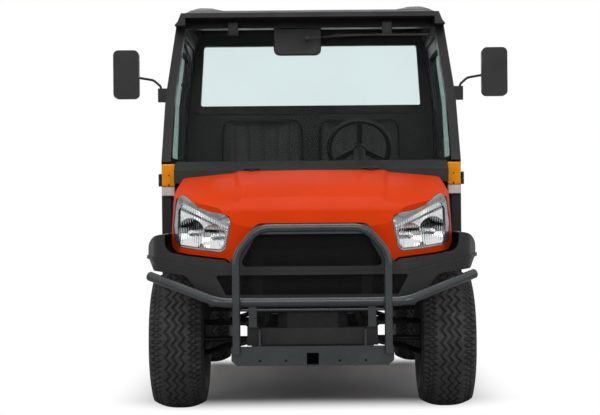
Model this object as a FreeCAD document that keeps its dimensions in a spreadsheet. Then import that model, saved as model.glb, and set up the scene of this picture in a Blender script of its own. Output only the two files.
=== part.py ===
"""A side by side utility vehicle with a hard cab, a tipping cargo bed and a tube front guard.

Millimetres, +Z up. The nose points to -Y and the driver sits on the +X side. The origin is on
the ground, half way between the foremost tube and the rear of the bumper. Every place along the
vehicle is measured from one of the two axles, so a longer cab or a longer bed moves whole ends.
"""
import FreeCAD, Part
import math
import os
import types

import Sketcher
from FreeCAD import Placement, Rotation, Vector

os.makedirs("parts", exist_ok=True)
doc = FreeCAD.newDocument("Utv")

# Driving dimensions
SIZES = {
    # Whole vehicle
    "front_overhang": 670,
    "axle_behind_cab": 735,
    "rear_overhang": 500,
    "track": 1235,
    # Wheels and tyres
    "tyre_radius": 317.5,
    "tyre_width": 254,
    "tread_width": 214,
    "rim_seat_radius": 152.5,
    "rim_lip_radius": 165,
    "rim_width": 190,
    "rim_wall": 8,
    "disc_offset": 20,
    "disc_wall": 8,
    "hub_radius": 60,
    "brake_radius": 105,
    "brake_wall": 6,
    # Knuckles and shafts
    "kingpin_offset": 60,
    "knuckle_radius": 52,
    "knuckle_bore": 40,
    "joint_ball": 34,
    "shaft_radius": 13,
    "ball_joint_rise": 77.5,
    "arm_eye_radius": 19,
    "arm_pin_radius": 8,
    "arm_section": 22,
    "spring_bolt": 9,
    "spring_eye": 16,
    "spring_radius": 32,
    "steering_arm": 90,
    "rack_ahead": 60,
    "rack_rise": 6,
    "rack_half": 200,
    "rack_radius": 12,
    "running_gap": 0.3,
    # Frame
    "rail_outer": 280,
    "rail_width": 50,
    "rail_bottom": 340,
    "rail_height": 80,
    "rail_front": 600,
    "rail_rear": 300,
    "cross_section": 50,
    "cross_pitch": 140,
    "tower_top": 700,
    # Front guard and hitch plate
    "guard_tube": 42,
    "guard_height": 526,
    "guard_straight": 400,
    "guard_end_x": 723,
    "guard_sweep": 270,
    "guard_rise": 104,
    "brace_radius": 7,
    "brace_drop": 32,
    "hoop_tube": 34,
    "hoop_half": 323,
    "hoop_top": 861,
    "hoop_top_half": 230,
    "hoop_slope": 111,
    "hoop_bend": 120,
    "hitch_half": 347,
    "hitch_bottom": 257,
    "hitch_height": 83,
    "hitch_wall": 8,
    "receiver_bore": 51,
    "receiver_wall": 6,
    "receiver_height": 286,
    "receiver_depth": 200,
    "pin_depth": 55,
    "pin_bore": 8,
    "inner_bolts": 114.7,
    "outer_bolts": 225.5,
    "bolt_hole": 5.5,
    # Nose
    "hood_rear": 220,
    "hood_half": 650,
    "hood_draft": 40,
    "hood_corner": 118,
    "hood_corner_round": 50,
    "hood_wall": 6,
    "hood_hinge_x": 287,
    "hood_front": 460,
    "hood_lip_height": 862,
    "hood_rise": 250,
    "ridge_rear": 363,
    "ridge_front": 317,
    "ridge_step": 9,
    "lip_corner": 245,
    "lip_round": 50,
    "leg_x": 360,
    "mouth_drop": 47,
    "mouth_top_half": 240,
    "mouth_low_half": 320,
    "panel_gap": 5,
    "fender_half": 752,
    "fender_drop": 48,
    "fender_round": 78,
    "fender_curl": 50,
    "fender_bottom": 654,
    "brow_proud": 7,
    "fascia_front": 500,
    "fascia_bottom": 500,
    "fascia_wall": 5,
    "grille_bar": 5,
    "grille_wall": 10,
    "bowl_radius": 46,
    # Cab
    "cab_half": 736,
    "cab_shoulder_half": 722,
    "cab_top_half": 676,
    "cab_wall": 46,
    "waist_rise": 48,
    "cab_height": 685,
    "shoulder_drop": 365,
    "header_rise": 37,
    "header_height": 45,
    "cab_bottom": 430,
    "post_front": 340,
    "pillar_front": 330,
    "pillar_lean": 203,
    "pillar_width": 70,
    "door_front": 398,
    "door_rear": 1205,
    "door_bottom": 450,
    "door_head_gap": 45,
    "door_wall": 40,
    "door_gap": 8,
    "sill_rise": 25,
    "window_border": 62,
    "glass_wall": 5,
    "cab_rear": 1310,
    "rear_wall": 40,
    "rear_glass_sill": 1496,
    "rear_glass_drop": 55,
    "rear_glass_half": 610,
    "floor_wall": 10,
    "toe_board": 400,
    "roof_front": 440,
    "roof_rear": 1400,
    "roof_edge_half": 661,
    "roof_edge_rise": 17,
    "roof_side_half": 631,
    "roof_lining_rise": 48,
    "roof_shoulder_rise": 53,
    "roof_lip_rise": 23,
    "roof_middle_rise": 83,
    "roof_rail_rise": 123,
    # Cab fittings
    "seat_centre": 267,
    "seat_width": 478,
    "seat_depth": 400,
    "seat_front": 780,
    "seat_top": 900,
    "seat_pad": 100,
    "seat_back_top": 1433,
    "wiper_x": -14,
    "wiper_drop": 54,
    "wiper_housing": 140,
    "wiper_spindle": 7,
    "wheel_rim_radius": 156,
    "column_shaft": 12,
    "wheel_rim_tube": 14,
    "wheel_x": 249,
    "wheel_s": 720,
    "wheel_rise": 78,
    "wheel_tilt": 60,
    "mirror_x": 896,
    "mirror_drop": 261,
    "mirror_width": 124,
    "mirror_height": 236,
    # Cargo bed
    "bed_gap": 35,
    "engine_gap": 110,
    "engine_length": 480,
    "engine_top": 760,
    "bed_half": 802.5,
    "bed_body_half": 752,
    "bed_wall": 38,
    "bed_floor": 850,
    "bed_floor_wall": 30,
    "bed_top": 1135,
    "gate_wall": 36,
    "bed_beam_width": 40,
    "bed_beam_height": 40,
    "bed_pivot_y": 305,
    "bed_pivot_z": 715,
    "pivot_pin": 12,
    # Lift cylinder
    "lift_x": 330,
    "lift_base_back": 75,
    "lift_base_z": 400,
    "lift_eye_y": 95,
    "lift_eye_z": 720,
    "barrel_radius": 27,
    "rod_radius": 13,
}


class Size:
    """A length that carries the sheet formula that gives it beside its present value."""

    def __init__(self, value, text):
        self.value = float(value)
        self.text = text

    def __float__(self):
        return self.value

    def __neg__(self):
        return Size(-self.value, f"(0 - {self.text})")

    def __add__(self, other):
        return Size(self.value + float(other), f"({self.text} + {formula(other)})")

    def __radd__(self, other):
        return self + other

    def __sub__(self, other):
        return Size(self.value - float(other), f"({self.text} - {formula(other)})")

    def __rsub__(self, other):
        return Size(float(other) - self.value, f"({formula(other)} - {self.text})")

    def __mul__(self, other):
        return Size(self.value * float(other), f"({self.text} * {formula(other)})")

    def __rmul__(self, other):
        return self * other

    def __truediv__(self, other):
        return Size(self.value / float(other), f"({self.text} / {formula(other)})")


def formula(number):
    """The sheet formula of a size, or the plain number."""
    if isinstance(number, Size):
        return number.text
    return f"({float(number):.9g})"


sheet = doc.addObject("Spreadsheet::Sheet", "Sizes")
for row, (name, number) in enumerate(SIZES.items(), start=1):
    sheet.set(f"A{row}", name)
    sheet.set(f"B{row}", str(number))
    sheet.setAlias(f"B{row}", name)
doc.recompute()
dim = types.SimpleNamespace(**{name: Size(number, f"Sizes.{name}") for name, number in SIZES.items()})

NODES = {}


# Drawing helpers
def bind(thing, prop, number):
    """Set one property from a size, so that it follows the sheet."""
    thing.setExpression(prop, formula(number))


def tidy(label):
    """A document name made from a label."""
    return "".join(word.capitalize() for word in label.split("_"))


def move(thing, x=0, y=0, z=0):
    """Place an object, each coordinate bound to the sheet."""
    for axis, number in zip("xyz", (x, y, z)):
        if isinstance(number, Size) or number:
            bind(thing, f"Placement.Base.{axis}", number)
    return thing


def draw_loop(sketch, loop):
    """Draw one closed loop. A corner is (u, v) or (u, v, radius); a circle is (u, v, "circle", radius)."""
    if len(loop) == 1:
        u, v, _, radius = loop[0]
        round_edge = Part.Circle(Vector(float(u), float(v), 0), Vector(0, 0, 1), float(radius))
        circle = sketch.addGeometry(round_edge)
        for kind, number in (("DistanceX", u), ("DistanceY", v)):
            rule = sketch.addConstraint(Sketcher.Constraint(kind, circle, 3, float(number)))
            sketch.setExpression(f"Constraints[{rule}]", formula(number))
        rule = sketch.addConstraint(Sketcher.Constraint("Radius", circle, float(radius)))
        sketch.setExpression(f"Constraints[{rule}]", formula(radius))
        return
    lines = []
    for here, ahead in zip(loop, loop[1:] + loop[:1]):
        start = Vector(float(here[0]), float(here[1]), 0)
        stop = Vector(float(ahead[0]), float(ahead[1]), 0)
        lines.append(sketch.addGeometry(Part.LineSegment(start, stop)))
    for line, following in zip(lines, lines[1:] + lines[:1]):
        sketch.addConstraint(Sketcher.Constraint("Coincident", line, 2, following, 1))
    for line, corner in zip(lines, loop):
        for kind, number in (("DistanceX", corner[0]), ("DistanceY", corner[1])):
            rule = sketch.addConstraint(Sketcher.Constraint(kind, line, 1, float(number)))
            sketch.setExpression(f"Constraints[{rule}]", formula(number))
    for line, corner in zip(lines, loop):
        if len(corner) == 3:
            first = sketch.GeometryCount
            sketch.fillet(line, 1, float(corner[2]), 1, True)
            arcs = [i for i in range(first, sketch.GeometryCount)
                    if isinstance(sketch.Geometry[i], Part.ArcOfCircle)]
            rule = sketch.addConstraint(Sketcher.Constraint("Radius", arcs[0], float(corner[2])))
            sketch.setExpression(f"Constraints[{rule}]", formula(corner[2]))


def origin_item(body, role):
    """One of a body's own origin planes or axes."""
    return [item for item in body.Origin.OriginFeatures if item.Role == role][0]


def new_sketch(body, plane, loops, offset=0):
    """A sketch on one of the body's origin planes, moved along that plane's normal."""
    sketch = body.newObject("Sketcher::SketchObject", body.Name + "Sketch")
    sketch.AttachmentSupport = [(origin_item(body, plane + "_Plane"), "")]
    sketch.MapMode = "FlatFace"
    bind(sketch, "AttachmentOffset.Base.z", offset)
    for loop in loops:
        draw_loop(sketch, loop)
    return sketch


def new_body(label):
    """An empty body that may hold several solids."""
    body = doc.addObject("PartDesign::Body", tidy(label))
    body.Label = label
    body.AllowCompound = True
    return body


def prism(label, plane, start, stop, *loops):
    """Loops drawn in XY, XZ or YZ, carried along the third axis from start to stop."""
    body = new_body(label)
    backwards = plane == "XZ"
    sketch = new_sketch(body, plane, loops, -start if backwards else start)
    pad = body.newObject("PartDesign::Pad", body.Name + "Pad")
    pad.Profile = sketch
    pad.Reversed = backwards
    bind(pad, "Length", stop - start)
    sketch.Visibility = False
    return body


def lathe(label, plane, axis, loop):
    """A profile turned once round one of the body's origin axes."""
    body = new_body(label)
    sketch = new_sketch(body, plane, [loop])
    turn = body.newObject("PartDesign::Revolution", body.Name + "Turn")
    turn.Profile = sketch
    turn.ReferenceAxis = (origin_item(body, axis + "_Axis"), [""])
    turn.Angle = 360
    sketch.Visibility = False
    return body


def slab(label, x, y, z):
    """A box between two places on each axis."""
    box = doc.addObject("Part::Box", tidy(label))
    box.Label = label
    for prop, span in (("Length", x), ("Width", y), ("Height", z)):
        bind(box, prop, span[1] - span[0])
    return move(box, x[0], y[0], z[0])


TURNS = {
    "X": Rotation(Vector(0, 1, 0), 90),
    "Y": Rotation(Vector(1, 0, 0), -90),
    "Z": Rotation(),
}


def rod(label, axis, start, length, radius):
    """A round bar along one axis, from the centre of its first end."""
    bar = doc.addObject("Part::Cylinder", tidy(label))
    bar.Label = label
    bar.Placement = Placement(Vector(), TURNS[axis])
    bind(bar, "Radius", radius)
    bind(bar, "Height", length)
    return move(bar, *start)


def ball(label, centre, radius):
    """A sphere."""
    sphere = doc.addObject("Part::Sphere", tidy(label))
    sphere.Label = label
    bind(sphere, "Radius", radius)
    return move(sphere, *centre)


def fuse(label, *pieces):
    """Several pieces as one."""
    joined = doc.addObject("Part::MultiFuse", tidy(label))
    joined.Label = label
    joined.Shapes = list(pieces)
    joined.Refine = True
    return joined


def cut(label, base, *tools):
    """A base with tools taken out of it."""
    tool = tools[0] if len(tools) == 1 else group(label + "_tools", *tools)
    left = doc.addObject("Part::Cut", tidy(label))
    left.Label = label
    left.Base = base
    left.Tool = tool
    left.Refine = True
    return left


def common(label, *pieces):
    """The space that all the pieces share."""
    shared = doc.addObject("Part::MultiCommon", tidy(label))
    shared.Label = label
    shared.Shapes = list(pieces)
    shared.Refine = True
    return shared


def group(label, *pieces):
    """Several separate solids as one object."""
    gathered = doc.addObject("Part::Compound", tidy(label))
    gathered.Label = label
    gathered.Links = list(pieces)
    return gathered


def mirror(label, source):
    """The same piece on the other side of the vehicle."""
    twin = doc.addObject("Part::Mirroring", tidy(label))
    twin.Label = label
    twin.Source = source
    twin.Base = Vector(0, 0, 0)
    twin.Normal = Vector(1, 0, 0)
    return twin


def both(label, source):
    """A piece and its mirror image as one object of separate solids."""
    return group(label, source, mirror(label + "_twin", source))


def node(label, thing):
    """Give a finished sub-part its name."""
    thing.Label = label
    NODES[label] = thing
    return thing


def symmetric(half):
    """A loop from its right half, listed from the top centre round to the bottom centre."""
    return half + [(-corner[0],) + tuple(corner[1:]) for corner in reversed(half) if float(corner[0])]


def bent_path(points, radii):
    """Straight runs joined by tangent arcs: one radius for each inner point."""
    edges = []
    start = points[0]
    for here, ahead, radius in zip(points[1:], points[2:], radii):
        back = (start - here).normalize()
        onward = (ahead - here).normalize()
        half_turn = (math.pi - back.getAngle(onward)) / 2
        reach = radius * math.tan(half_turn)
        middle = (back + onward).normalize()
        arc_in = here + back * reach
        arc_out = here + onward * reach
        arc_mid = here + middle * (radius / math.cos(half_turn) - radius)
        edges.append(Part.LineSegment(start, arc_in).toShape())
        edges.append(Part.Arc(arc_in, arc_mid, arc_out).toShape())
        start = arc_out
    edges.append(Part.LineSegment(start, points[-1]).toShape())
    return Part.Wire(edges)


def bent_rod(label, points, radii, radius):
    """A round bar bent in space, which no flat sketch holds."""
    path = bent_path([Vector(*[float(number) for number in point]) for point in points],
                     [float(number) for number in radii])
    start = path.Vertexes[0].Point
    heading = (path.Vertexes[1].Point - start).normalize()
    ring = Part.Wire([Part.Circle(start, heading, float(radius)).toShape()])
    bar = doc.addObject("Part::Feature", tidy(label))
    bar.Label = label
    bar.Shape = path.makePipeShell([ring], True, False)
    return bar


# Places that several pieces share
wheelbase = dim.cab_rear + dim.axle_behind_cab
length = dim.front_overhang + wheelbase + dim.rear_overhang
front_axle = dim.front_overhang - length / 2
rear_axle = front_axle + wheelbase
wheel_x = dim.track / 2
hub_z = dim.tyre_radius
kingpin_x = wheel_x - dim.kingpin_offset
rail_top = dim.rail_bottom + dim.rail_height
rail_inner = dim.rail_outer - dim.rail_width
cross_bottom = dim.rail_bottom - dim.cross_section
hitch_top = dim.hitch_bottom + dim.hitch_height
hood_rear_height = dim.hood_lip_height + dim.hood_rise
fender_top = dim.hood_lip_height - dim.fender_drop
cab_waist = hood_rear_height + dim.waist_rise
cab_top = cab_waist + dim.cab_height
cab_shoulder = cab_top - dim.shoulder_drop
window_sill = cab_waist + dim.sill_rise
steering_z = cab_waist + dim.wheel_rise
mirror_z = cab_top - dim.mirror_drop
cab_inner = dim.cab_half - dim.cab_wall
cab_shoulder_inner = dim.cab_shoulder_half - dim.cab_wall
cab_top_inner = dim.cab_top_half - dim.cab_wall
header_top = cab_top + dim.header_rise
door_head = cab_top - dim.door_head_gap
rear_glass_head = header_top - dim.rear_glass_drop
floor_top = rail_top + dim.floor_wall
arm_bush = dim.arm_section / 2 + 3
arm_root_x = dim.rail_outer + arm_bush
upper_eye_z = hub_z + dim.ball_joint_rise
upper_root_z = rail_top - 20
spring_foot_x = dim.rail_outer + 118
bed_front = front_axle + dim.cab_rear + dim.bed_gap
bed_low = dim.bed_floor - dim.bed_floor_wall
bed_beam_low = bed_low - dim.bed_beam_height
bed_beam_x = dim.rail_outer + 8


def ahead(distance):
    """A place measured back from the front axle."""
    return front_axle + distance


def behind(distance):
    """A place measured back from the rear axle."""
    return rear_axle + distance


# Wheels
def tyre_profile():
    """Half a section of the tyre, from the rim seat out to the tread."""
    seat = dim.rim_width / 2 - 6
    side = dim.tyre_width / 2
    crown = dim.tread_width / 2
    right = [
        (seat, dim.rim_seat_radius),
        (seat, dim.rim_lip_radius + 2),
        (side - 8, dim.rim_lip_radius + 22),
        (side, dim.rim_lip_radius + 75),
        (side - 4, dim.tyre_radius - 38),
        (crown, dim.tyre_radius),
    ]
    return right + [(-corner[0], corner[1]) for corner in reversed(right)]


def rim_profile():
    """Half a section of the pressed rim with its disc, hub and bearing spigot."""
    lip = dim.rim_width / 2
    inside = dim.rim_seat_radius - dim.rim_wall
    plate = dim.disc_offset + dim.disc_wall
    return [
        (-lip, dim.rim_lip_radius),
        (-lip, inside),
        (dim.disc_offset, inside),
        (dim.disc_offset, dim.hub_radius),
        (-6, dim.hub_radius),
        (-6, dim.knuckle_bore - dim.running_gap),
        (-23, dim.knuckle_bore - dim.running_gap),
        (-23, 0),
        (plate + 18, 0),
        (plate + 18, dim.knuckle_bore - 6),
        (plate, dim.knuckle_bore),
        (plate, inside),
        (lip, inside),
        (lip, dim.rim_lip_radius),
        (lip - 6, dim.rim_lip_radius),
        (lip - 6, dim.rim_seat_radius),
        (6 - lip, dim.rim_seat_radius),
        (6 - lip, dim.rim_lip_radius),
    ]


def wheel(place, axle):
    """A left wheel and its mirror image: a tyre, and a rim with its brake disc."""
    tyre = lathe(f"tyre_{place}_left", "XY", "X", tyre_profile())
    move(tyre, wheel_x, axle, hub_z)
    node(f"tyre_{place}_left", tyre)
    node(f"tyre_{place}_right", mirror(f"tyre_{place}_right", tyre))
    blank = lathe(f"rim_{place}_blank", "XY", "X", rim_profile())
    brake = lathe(f"brake_{place}", "XY", "X", [
        (0, dim.hub_radius - 2),
        (0, dim.brake_radius),
        (dim.brake_wall, dim.brake_radius),
        (dim.brake_wall, dim.hub_radius - 2),
    ])
    windows = []
    for turn in range(8):
        angle = math.radians(turn * 45)
        reach = (dim.hub_radius + dim.rim_seat_radius - dim.rim_wall) / 2
        hole = rod(f"rim_{place}_window_{turn}", "X",
                   (dim.disc_offset - 5, reach * math.cos(angle), reach * math.sin(angle)),
                   dim.disc_wall + 10, 17)
        windows.append(hole)
    rim = cut(f"rim_{place}_left", fuse(f"rim_{place}_solid", blank, brake), *windows)
    move(rim, wheel_x, axle, hub_z)
    node(f"rim_{place}_left", rim)
    node(f"rim_{place}_right", mirror(f"rim_{place}_right", rim))


wheel("front", front_axle)
wheel("rear", rear_axle)


# Hub carriers, steered in front and fixed behind
def hub_carrier(label, axle, steered):
    """A bored housing on the wheel's axis with a pin above and below for the two arms."""
    inner = kingpin_x - 30
    outer = wheel_x - 7.5
    pieces = [rod(label + "_housing", "X", (inner, axle, hub_z), outer - inner, dim.knuckle_radius)]
    arm_gap = dim.arm_section / 2 + 3
    for side in (1, -1):
        tag = "up" if side > 0 else "down"
        tip = hub_z + side * (dim.ball_joint_rise + dim.arm_section / 2 + 6)
        shoulder = hub_z + side * (dim.ball_joint_rise - arm_gap)
        low, high = (hub_z, shoulder) if side > 0 else (shoulder, hub_z)
        pieces.append(rod(f"{label}_{tag}_boss", "Z", (kingpin_x, axle, low), high - low,
                          dim.arm_eye_radius))
        low, high = (hub_z, tip) if side > 0 else (tip, hub_z)
        pieces.append(rod(f"{label}_{tag}_pin", "Z", (kingpin_x, axle, low), high - low,
                          dim.arm_pin_radius))
    if steered:
        pieces.append(slab(label + "_lever", (kingpin_x - 12, kingpin_x + 12),
                           (axle - dim.steering_arm, axle), (hub_z + 30, hub_z + 44)))
        pieces.append(rod(label + "_lever_end", "Z", (kingpin_x, axle - dim.steering_arm, hub_z + 30),
                          14, 15))
    bore = rod(label + "_bore", "X", (inner - 1, axle, hub_z), outer - inner + 2, dim.knuckle_bore)
    return cut(label, fuse(label + "_solid", *pieces), bore)


knuckle = node("knuckle_left", hub_carrier("knuckle_left", front_axle, True))
node("knuckle_right", mirror("knuckle_right", knuckle))
node("rear_hub_carriers", both("rear_hub_carriers", hub_carrier("rear_carrier", rear_axle, False)))


def bar_between(label, start, stop, radius):
    """A straight round bar between two places."""
    first = Vector(*[float(number) for number in start])
    last = Vector(*[float(number) for number in stop])
    bar = doc.addObject("Part::Feature", tidy(label))
    bar.Label = label
    bar.Shape = Part.makeCylinder(float(radius), (last - first).Length, first, last - first)
    return bar


def leg_bar_z(eye_z, root_z):
    """The height of an upper arm's cross bar, which the spring leg stands on."""
    share = (kingpin_x - 10 - spring_foot_x) / (kingpin_x - 10 - arm_root_x)
    return eye_z + (root_z - eye_z) * share


def wishbone(label, axle, eye_z, root_z, sprung):
    """An arm of two legs from an eye round the carrier's pin to the frame."""
    half = dim.arm_section / 2
    eye = rod(label + "_eye", "Z", (kingpin_x, axle, eye_z - half), dim.arm_section, dim.arm_eye_radius)
    legs = []
    for side in (1, -1):
        foot = (arm_root_x, axle + side * dim.cross_pitch, root_z)
        legs.append(bar_between(f"{label}_leg_{side + 1}", (kingpin_x - 10, axle, eye_z), foot, half - 1))
        legs.append(rod(f"{label}_bush_{side + 1}", "Y",
                        (arm_root_x, axle + side * dim.cross_pitch - 22, root_z), 44, arm_bush))
    if sprung:
        half_bar = dim.cross_pitch * (kingpin_x - 10 - spring_foot_x) / (kingpin_x - 10 - arm_root_x)
        legs.append(rod(label + "_bar", "Y", (spring_foot_x, axle - half_bar, leg_bar_z(eye_z, root_z)),
                        half_bar * 2, dim.spring_bolt))
    hole = rod(label + "_hole", "Z", (kingpin_x, axle, eye_z - half - 12), dim.arm_section + 24,
               dim.arm_pin_radius + dim.running_gap)
    return cut(label, fuse(label + "_solid", eye, *legs), hole)


def wishbones(place, axle):
    """Upper and lower arms on both sides of one axle."""
    upper = wishbone(f"{place}_upper_arm", axle, upper_eye_z, upper_root_z, True)
    lower = wishbone(f"{place}_lower_arm", axle, hub_z - dim.ball_joint_rise,
                     cross_bottom + dim.cross_section / 2, False)
    arms = group(f"{place}_arms", upper, lower)
    node(f"wishbones_{place}", both(f"wishbones_{place}", arms))


wishbones("front", front_axle)
wishbones("rear", rear_axle)


# Drive
def drive(place, axle, half, front, rear, bottom, top):
    """A gear case and its two half shafts, each ending in a ball at the carrier's centre."""
    case = slab(f"{place}_case", (-half, half), (front, rear), (bottom, top))
    shaft = rod(f"{place}_shaft", "X", (-kingpin_x, axle, hub_z), kingpin_x * 2, dim.shaft_radius)
    balls = [ball(f"{place}_ball_{side + 1}", (side * kingpin_x, axle, hub_z), dim.joint_ball)
             for side in (1, -1)]
    boots = [rod(f"{place}_boot_{side + 1}", "X", (side * half if side > 0 else -half - 60, axle, hub_z),
                 60, dim.shaft_radius + 22) for side in (1, -1)]
    return case, shaft, balls, boots


case_top = rail_top + 20
front_case, front_shaft, front_balls, front_boots = drive(
    "front", front_axle, 85, ahead(-38), ahead(dim.cross_pitch - dim.cross_section / 2), 262, 395)
prop_shaft = rod("prop_shaft", "Y", (50, ahead(60), rail_top - 48), rear_axle - front_axle - 120, 18)
rear_case, rear_shaft, rear_balls, rear_boots = drive(
    "rear", rear_axle, 150, behind(-110), behind(dim.cross_pitch - dim.cross_section / 2), 250, case_top)
node("drivetrain", fuse("drivetrain", front_case, front_shaft, *front_balls, *front_boots, prop_shaft,
                        rear_case, rear_shaft, *rear_balls, *rear_boots))
engine_front = bed_front + dim.engine_gap
node("engine_block", slab("engine_block", (-190, 190), (engine_front, engine_front + dim.engine_length),
                          (case_top, dim.engine_top)))


# Frame
def rail():
    """One long box section of the frame."""
    return slab("rail", (rail_inner, dim.rail_outer), (ahead(-dim.rail_front), behind(dim.rail_rear)),
                (dim.rail_bottom, rail_top))


node("frame_rails", both("frame_rails", rail()))


def crossmember(label, y):
    """A square tube under both rails."""
    half = dim.cross_section / 2
    return slab(label, (-dim.rail_outer, dim.rail_outer), (y - half, y + half),
                (cross_bottom, dim.rail_bottom))


def tower(label, axle, top):
    """A post on each rail with a beam across, which carries the spring legs."""
    post = slab(label + "_post", (rail_inner, dim.rail_outer), (axle - 25, axle + 25), (rail_top, top))
    beam = slab(label + "_beam", (-dim.rail_outer, dim.rail_outer), (axle - 25, axle + 25), (top, top + 40))
    return fuse(label, post, mirror(label + "_twin", post), beam)


cross_places = {
    "front_a": ahead(-dim.cross_pitch),
    "front_b": ahead(dim.cross_pitch),
    "cab_a": ahead(700),
    "cab_b": ahead(dim.cab_rear - 20),
    "rear_a": behind(-dim.cross_pitch),
    "rear_b": behind(dim.cross_pitch),
    "tail": behind(dim.rail_rear - 25),
}
nose_half = rail_inner - dim.hitch_wall
nose_beam = slab("nose_beam", (-nose_half, nose_half), (ahead(-dim.rail_front), ahead(-dim.rail_front) + 40),
                 (dim.rail_bottom + 5, rail_top - 5))
node("frame_crossmembers", group("frame_crossmembers", nose_beam,
                                 *[crossmember(f"cross_{name}", y) for name, y in cross_places.items()]))
node("front_tower", tower("front_tower", front_axle, dim.tower_top))


def front_panel():
    """A bent sheet that stands on the nose beam and covers the space over it, with swept back sides."""
    face = ahead(-dim.rail_front)
    wall = dim.floor_wall / 2
    half = [
        (0, face),
        (108, face),
        (150, face + 36),
        (150, face + 36 + wall),
        (106, face + wall),
        (0, face + wall),
    ]
    return prism("front_panel", "XY", rail_top - 5 + dim.running_gap, dim.guard_height - dim.brace_drop - 8,
                 symmetric(half))


node("front_panel", front_panel())


def bed_frame():
    """Raised rails behind the cab that the bed rests on and turns about."""
    top = dim.bed_pivot_z + 25
    posts = [slab(f"bed_post_{name}", (rail_inner, dim.rail_outer), (y - 25, y + 25), (rail_top, top - 50))
             for name, y in (("front", bed_front + 50), ("axle", behind(0)), ("rear", behind(270)))]
    beam = slab("bed_beam", (rail_inner, dim.rail_outer), (bed_front + 25, behind(dim.bed_pivot_y + 30)),
                (top - 50, top))
    side = fuse("bed_side", beam, *posts)
    across = slab("bed_across", (-rail_inner, rail_inner), (bed_front + 25, bed_front + 65), (top - 50, top))
    rest = slab("bed_rest", (rail_inner, bed_beam_x + dim.bed_beam_width), (bed_front + 25, bed_front + 65),
                (top, bed_beam_low - 0.5))
    pin = rod("bed_pin", "X", (-dim.rail_outer - 48, behind(dim.bed_pivot_y), dim.bed_pivot_z),
              dim.rail_outer * 2 + 96, dim.pivot_pin)
    return fuse("bed_frame", side, mirror("bed_side_twin", side), across, pin, rest,
                mirror("bed_rest_twin", rest))


node("bed_frame", bed_frame())


# Spring legs
def spring_leg(label, axle, head_z):
    """A damper with its coil drawn as a plain sleeve, from the upper arm's bar up to the frame."""
    foot_z = leg_bar_z(upper_eye_z, upper_root_z)
    foot = (spring_foot_x, axle, foot_z)
    head = (dim.rail_outer + dim.spring_eye, axle, head_z)
    start = Vector(*[float(number) for number in foot])
    stop = Vector(*[float(number) for number in head])
    along = (stop - start).normalize()
    shaft = bar_between(label + "_rod", tuple(start), tuple(stop), dim.spring_bolt)
    coil = bar_between(label + "_coil", tuple(start + along * 60), tuple(stop - along * 50),
                       dim.spring_radius)
    eyes = [rod(f"{label}_eye_{index}", "Y", (place[0], place[1] - 16, place[2]), 32, dim.spring_eye)
            for index, place in enumerate((foot, head))]
    hole = rod(label + "_hole", "Y", (spring_foot_x, axle - 20, foot_z), 40,
               dim.spring_bolt + dim.running_gap)
    return cut(label, fuse(label + "_solid", shaft, coil, *eyes), hole)


front_leg = spring_leg("front_leg", front_axle, dim.tower_top + 15)
rear_leg = spring_leg("rear_leg", rear_axle, dim.bed_pivot_z - 25)
node("spring_legs", both("spring_legs", group("spring_leg_pair", front_leg, rear_leg)))


# Steering
rack_y = front_axle - dim.rack_ahead
rack_z = hub_z + dim.rack_rise


def tie_rods():
    """The rack bar and both rods, whose ends lie just under the knuckles' levers."""
    rack = rod("rack_bar", "X", (-dim.rack_half, rack_y, rack_z), dim.rack_half * 2, dim.rack_radius)
    link = bar_between("tie_rod", (dim.rack_half - 12, rack_y, rack_z),
                       (kingpin_x, front_axle - dim.steering_arm, rack_z), 8)
    end = rod("tie_rod_end", "Z", (kingpin_x, front_axle - dim.steering_arm, rack_z - 10), 30, 13)
    side = fuse("tie_side", link, end)
    return fuse("tie_rods", rack, side, mirror("tie_side_twin", side))


node("tie_rods", tie_rods())


def rack_housing():
    """The tube that guides the rack bar, held off the cross tube ahead of it by two feet."""
    half = dim.rack_half - 70
    tube = rod("rack_tube", "X", (-half, rack_y, rack_z), half * 2, dim.rack_radius + 8)
    bore = rod("rack_tube_bore", "X", (-half - 10, rack_y, rack_z), half * 2 + 20,
               dim.rack_radius + dim.running_gap)
    foot = slab("rack_foot", (60, 100), (ahead(-dim.cross_pitch + dim.cross_section / 2), rack_y - 10),
                (rack_z - 12, rack_z + 4))
    return cut("rack_housing", fuse("rack_solid", tube, foot, mirror("rack_foot_twin", foot)), bore)


node("rack_housing", rack_housing())


# Front guard
def front_guard():
    """A wide bent tube across the nose with a hoop that rises in front of the grille."""
    y = ahead(-dim.front_overhang + dim.hoop_tube / 2 + 20 + dim.guard_tube / 2)
    hoop_y = ahead(-dim.front_overhang + dim.hoop_tube / 2)
    half = [
        (0, y, dim.guard_height),
        (dim.guard_straight, y, dim.guard_height),
        (dim.guard_end_x, y + dim.guard_sweep, dim.guard_height + dim.guard_rise),
    ]
    wide = [(-x, yy, z) for x, yy, z in reversed(half[1:])] + half[1:]
    main = bent_rod("guard_main", wide, [150, 150], dim.guard_tube / 2)
    low = hitch_top - 30
    top = dim.hoop_top - dim.hoop_tube / 2
    right = [
        (dim.hoop_top_half, hoop_y, top),
        (dim.hoop_half, hoop_y, top - dim.hoop_slope),
        (dim.hoop_half, hoop_y, low),
    ]
    points = [(-x, yy, z) for x, yy, z in reversed(right)] + right
    hoop = bent_rod("guard_hoop", points, [dim.hoop_bend] * 4, dim.hoop_tube / 2)
    brace_z = dim.guard_height - dim.brace_drop
    brace = rod("guard_brace", "X", (-dim.hoop_half, y, brace_z), dim.hoop_half * 2, dim.brace_radius)
    stay = slab("guard_stay", (dim.hoop_half - 4, dim.hoop_half + 4), (hoop_y, y + dim.brace_radius),
                (brace_z - dim.brace_radius, dim.guard_height + 15))
    foot = slab("guard_foot", (rail_inner + 8, dim.rail_outer - 8),
                (ahead(-dim.rail_front) - 20, ahead(-dim.rail_front) + 60),
                (rail_top, dim.guard_height + 10))
    return fuse("front_guard", hoop, main, brace, stay, mirror("guard_stay_twin", stay), foot,
                mirror("guard_foot_twin", foot))


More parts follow.
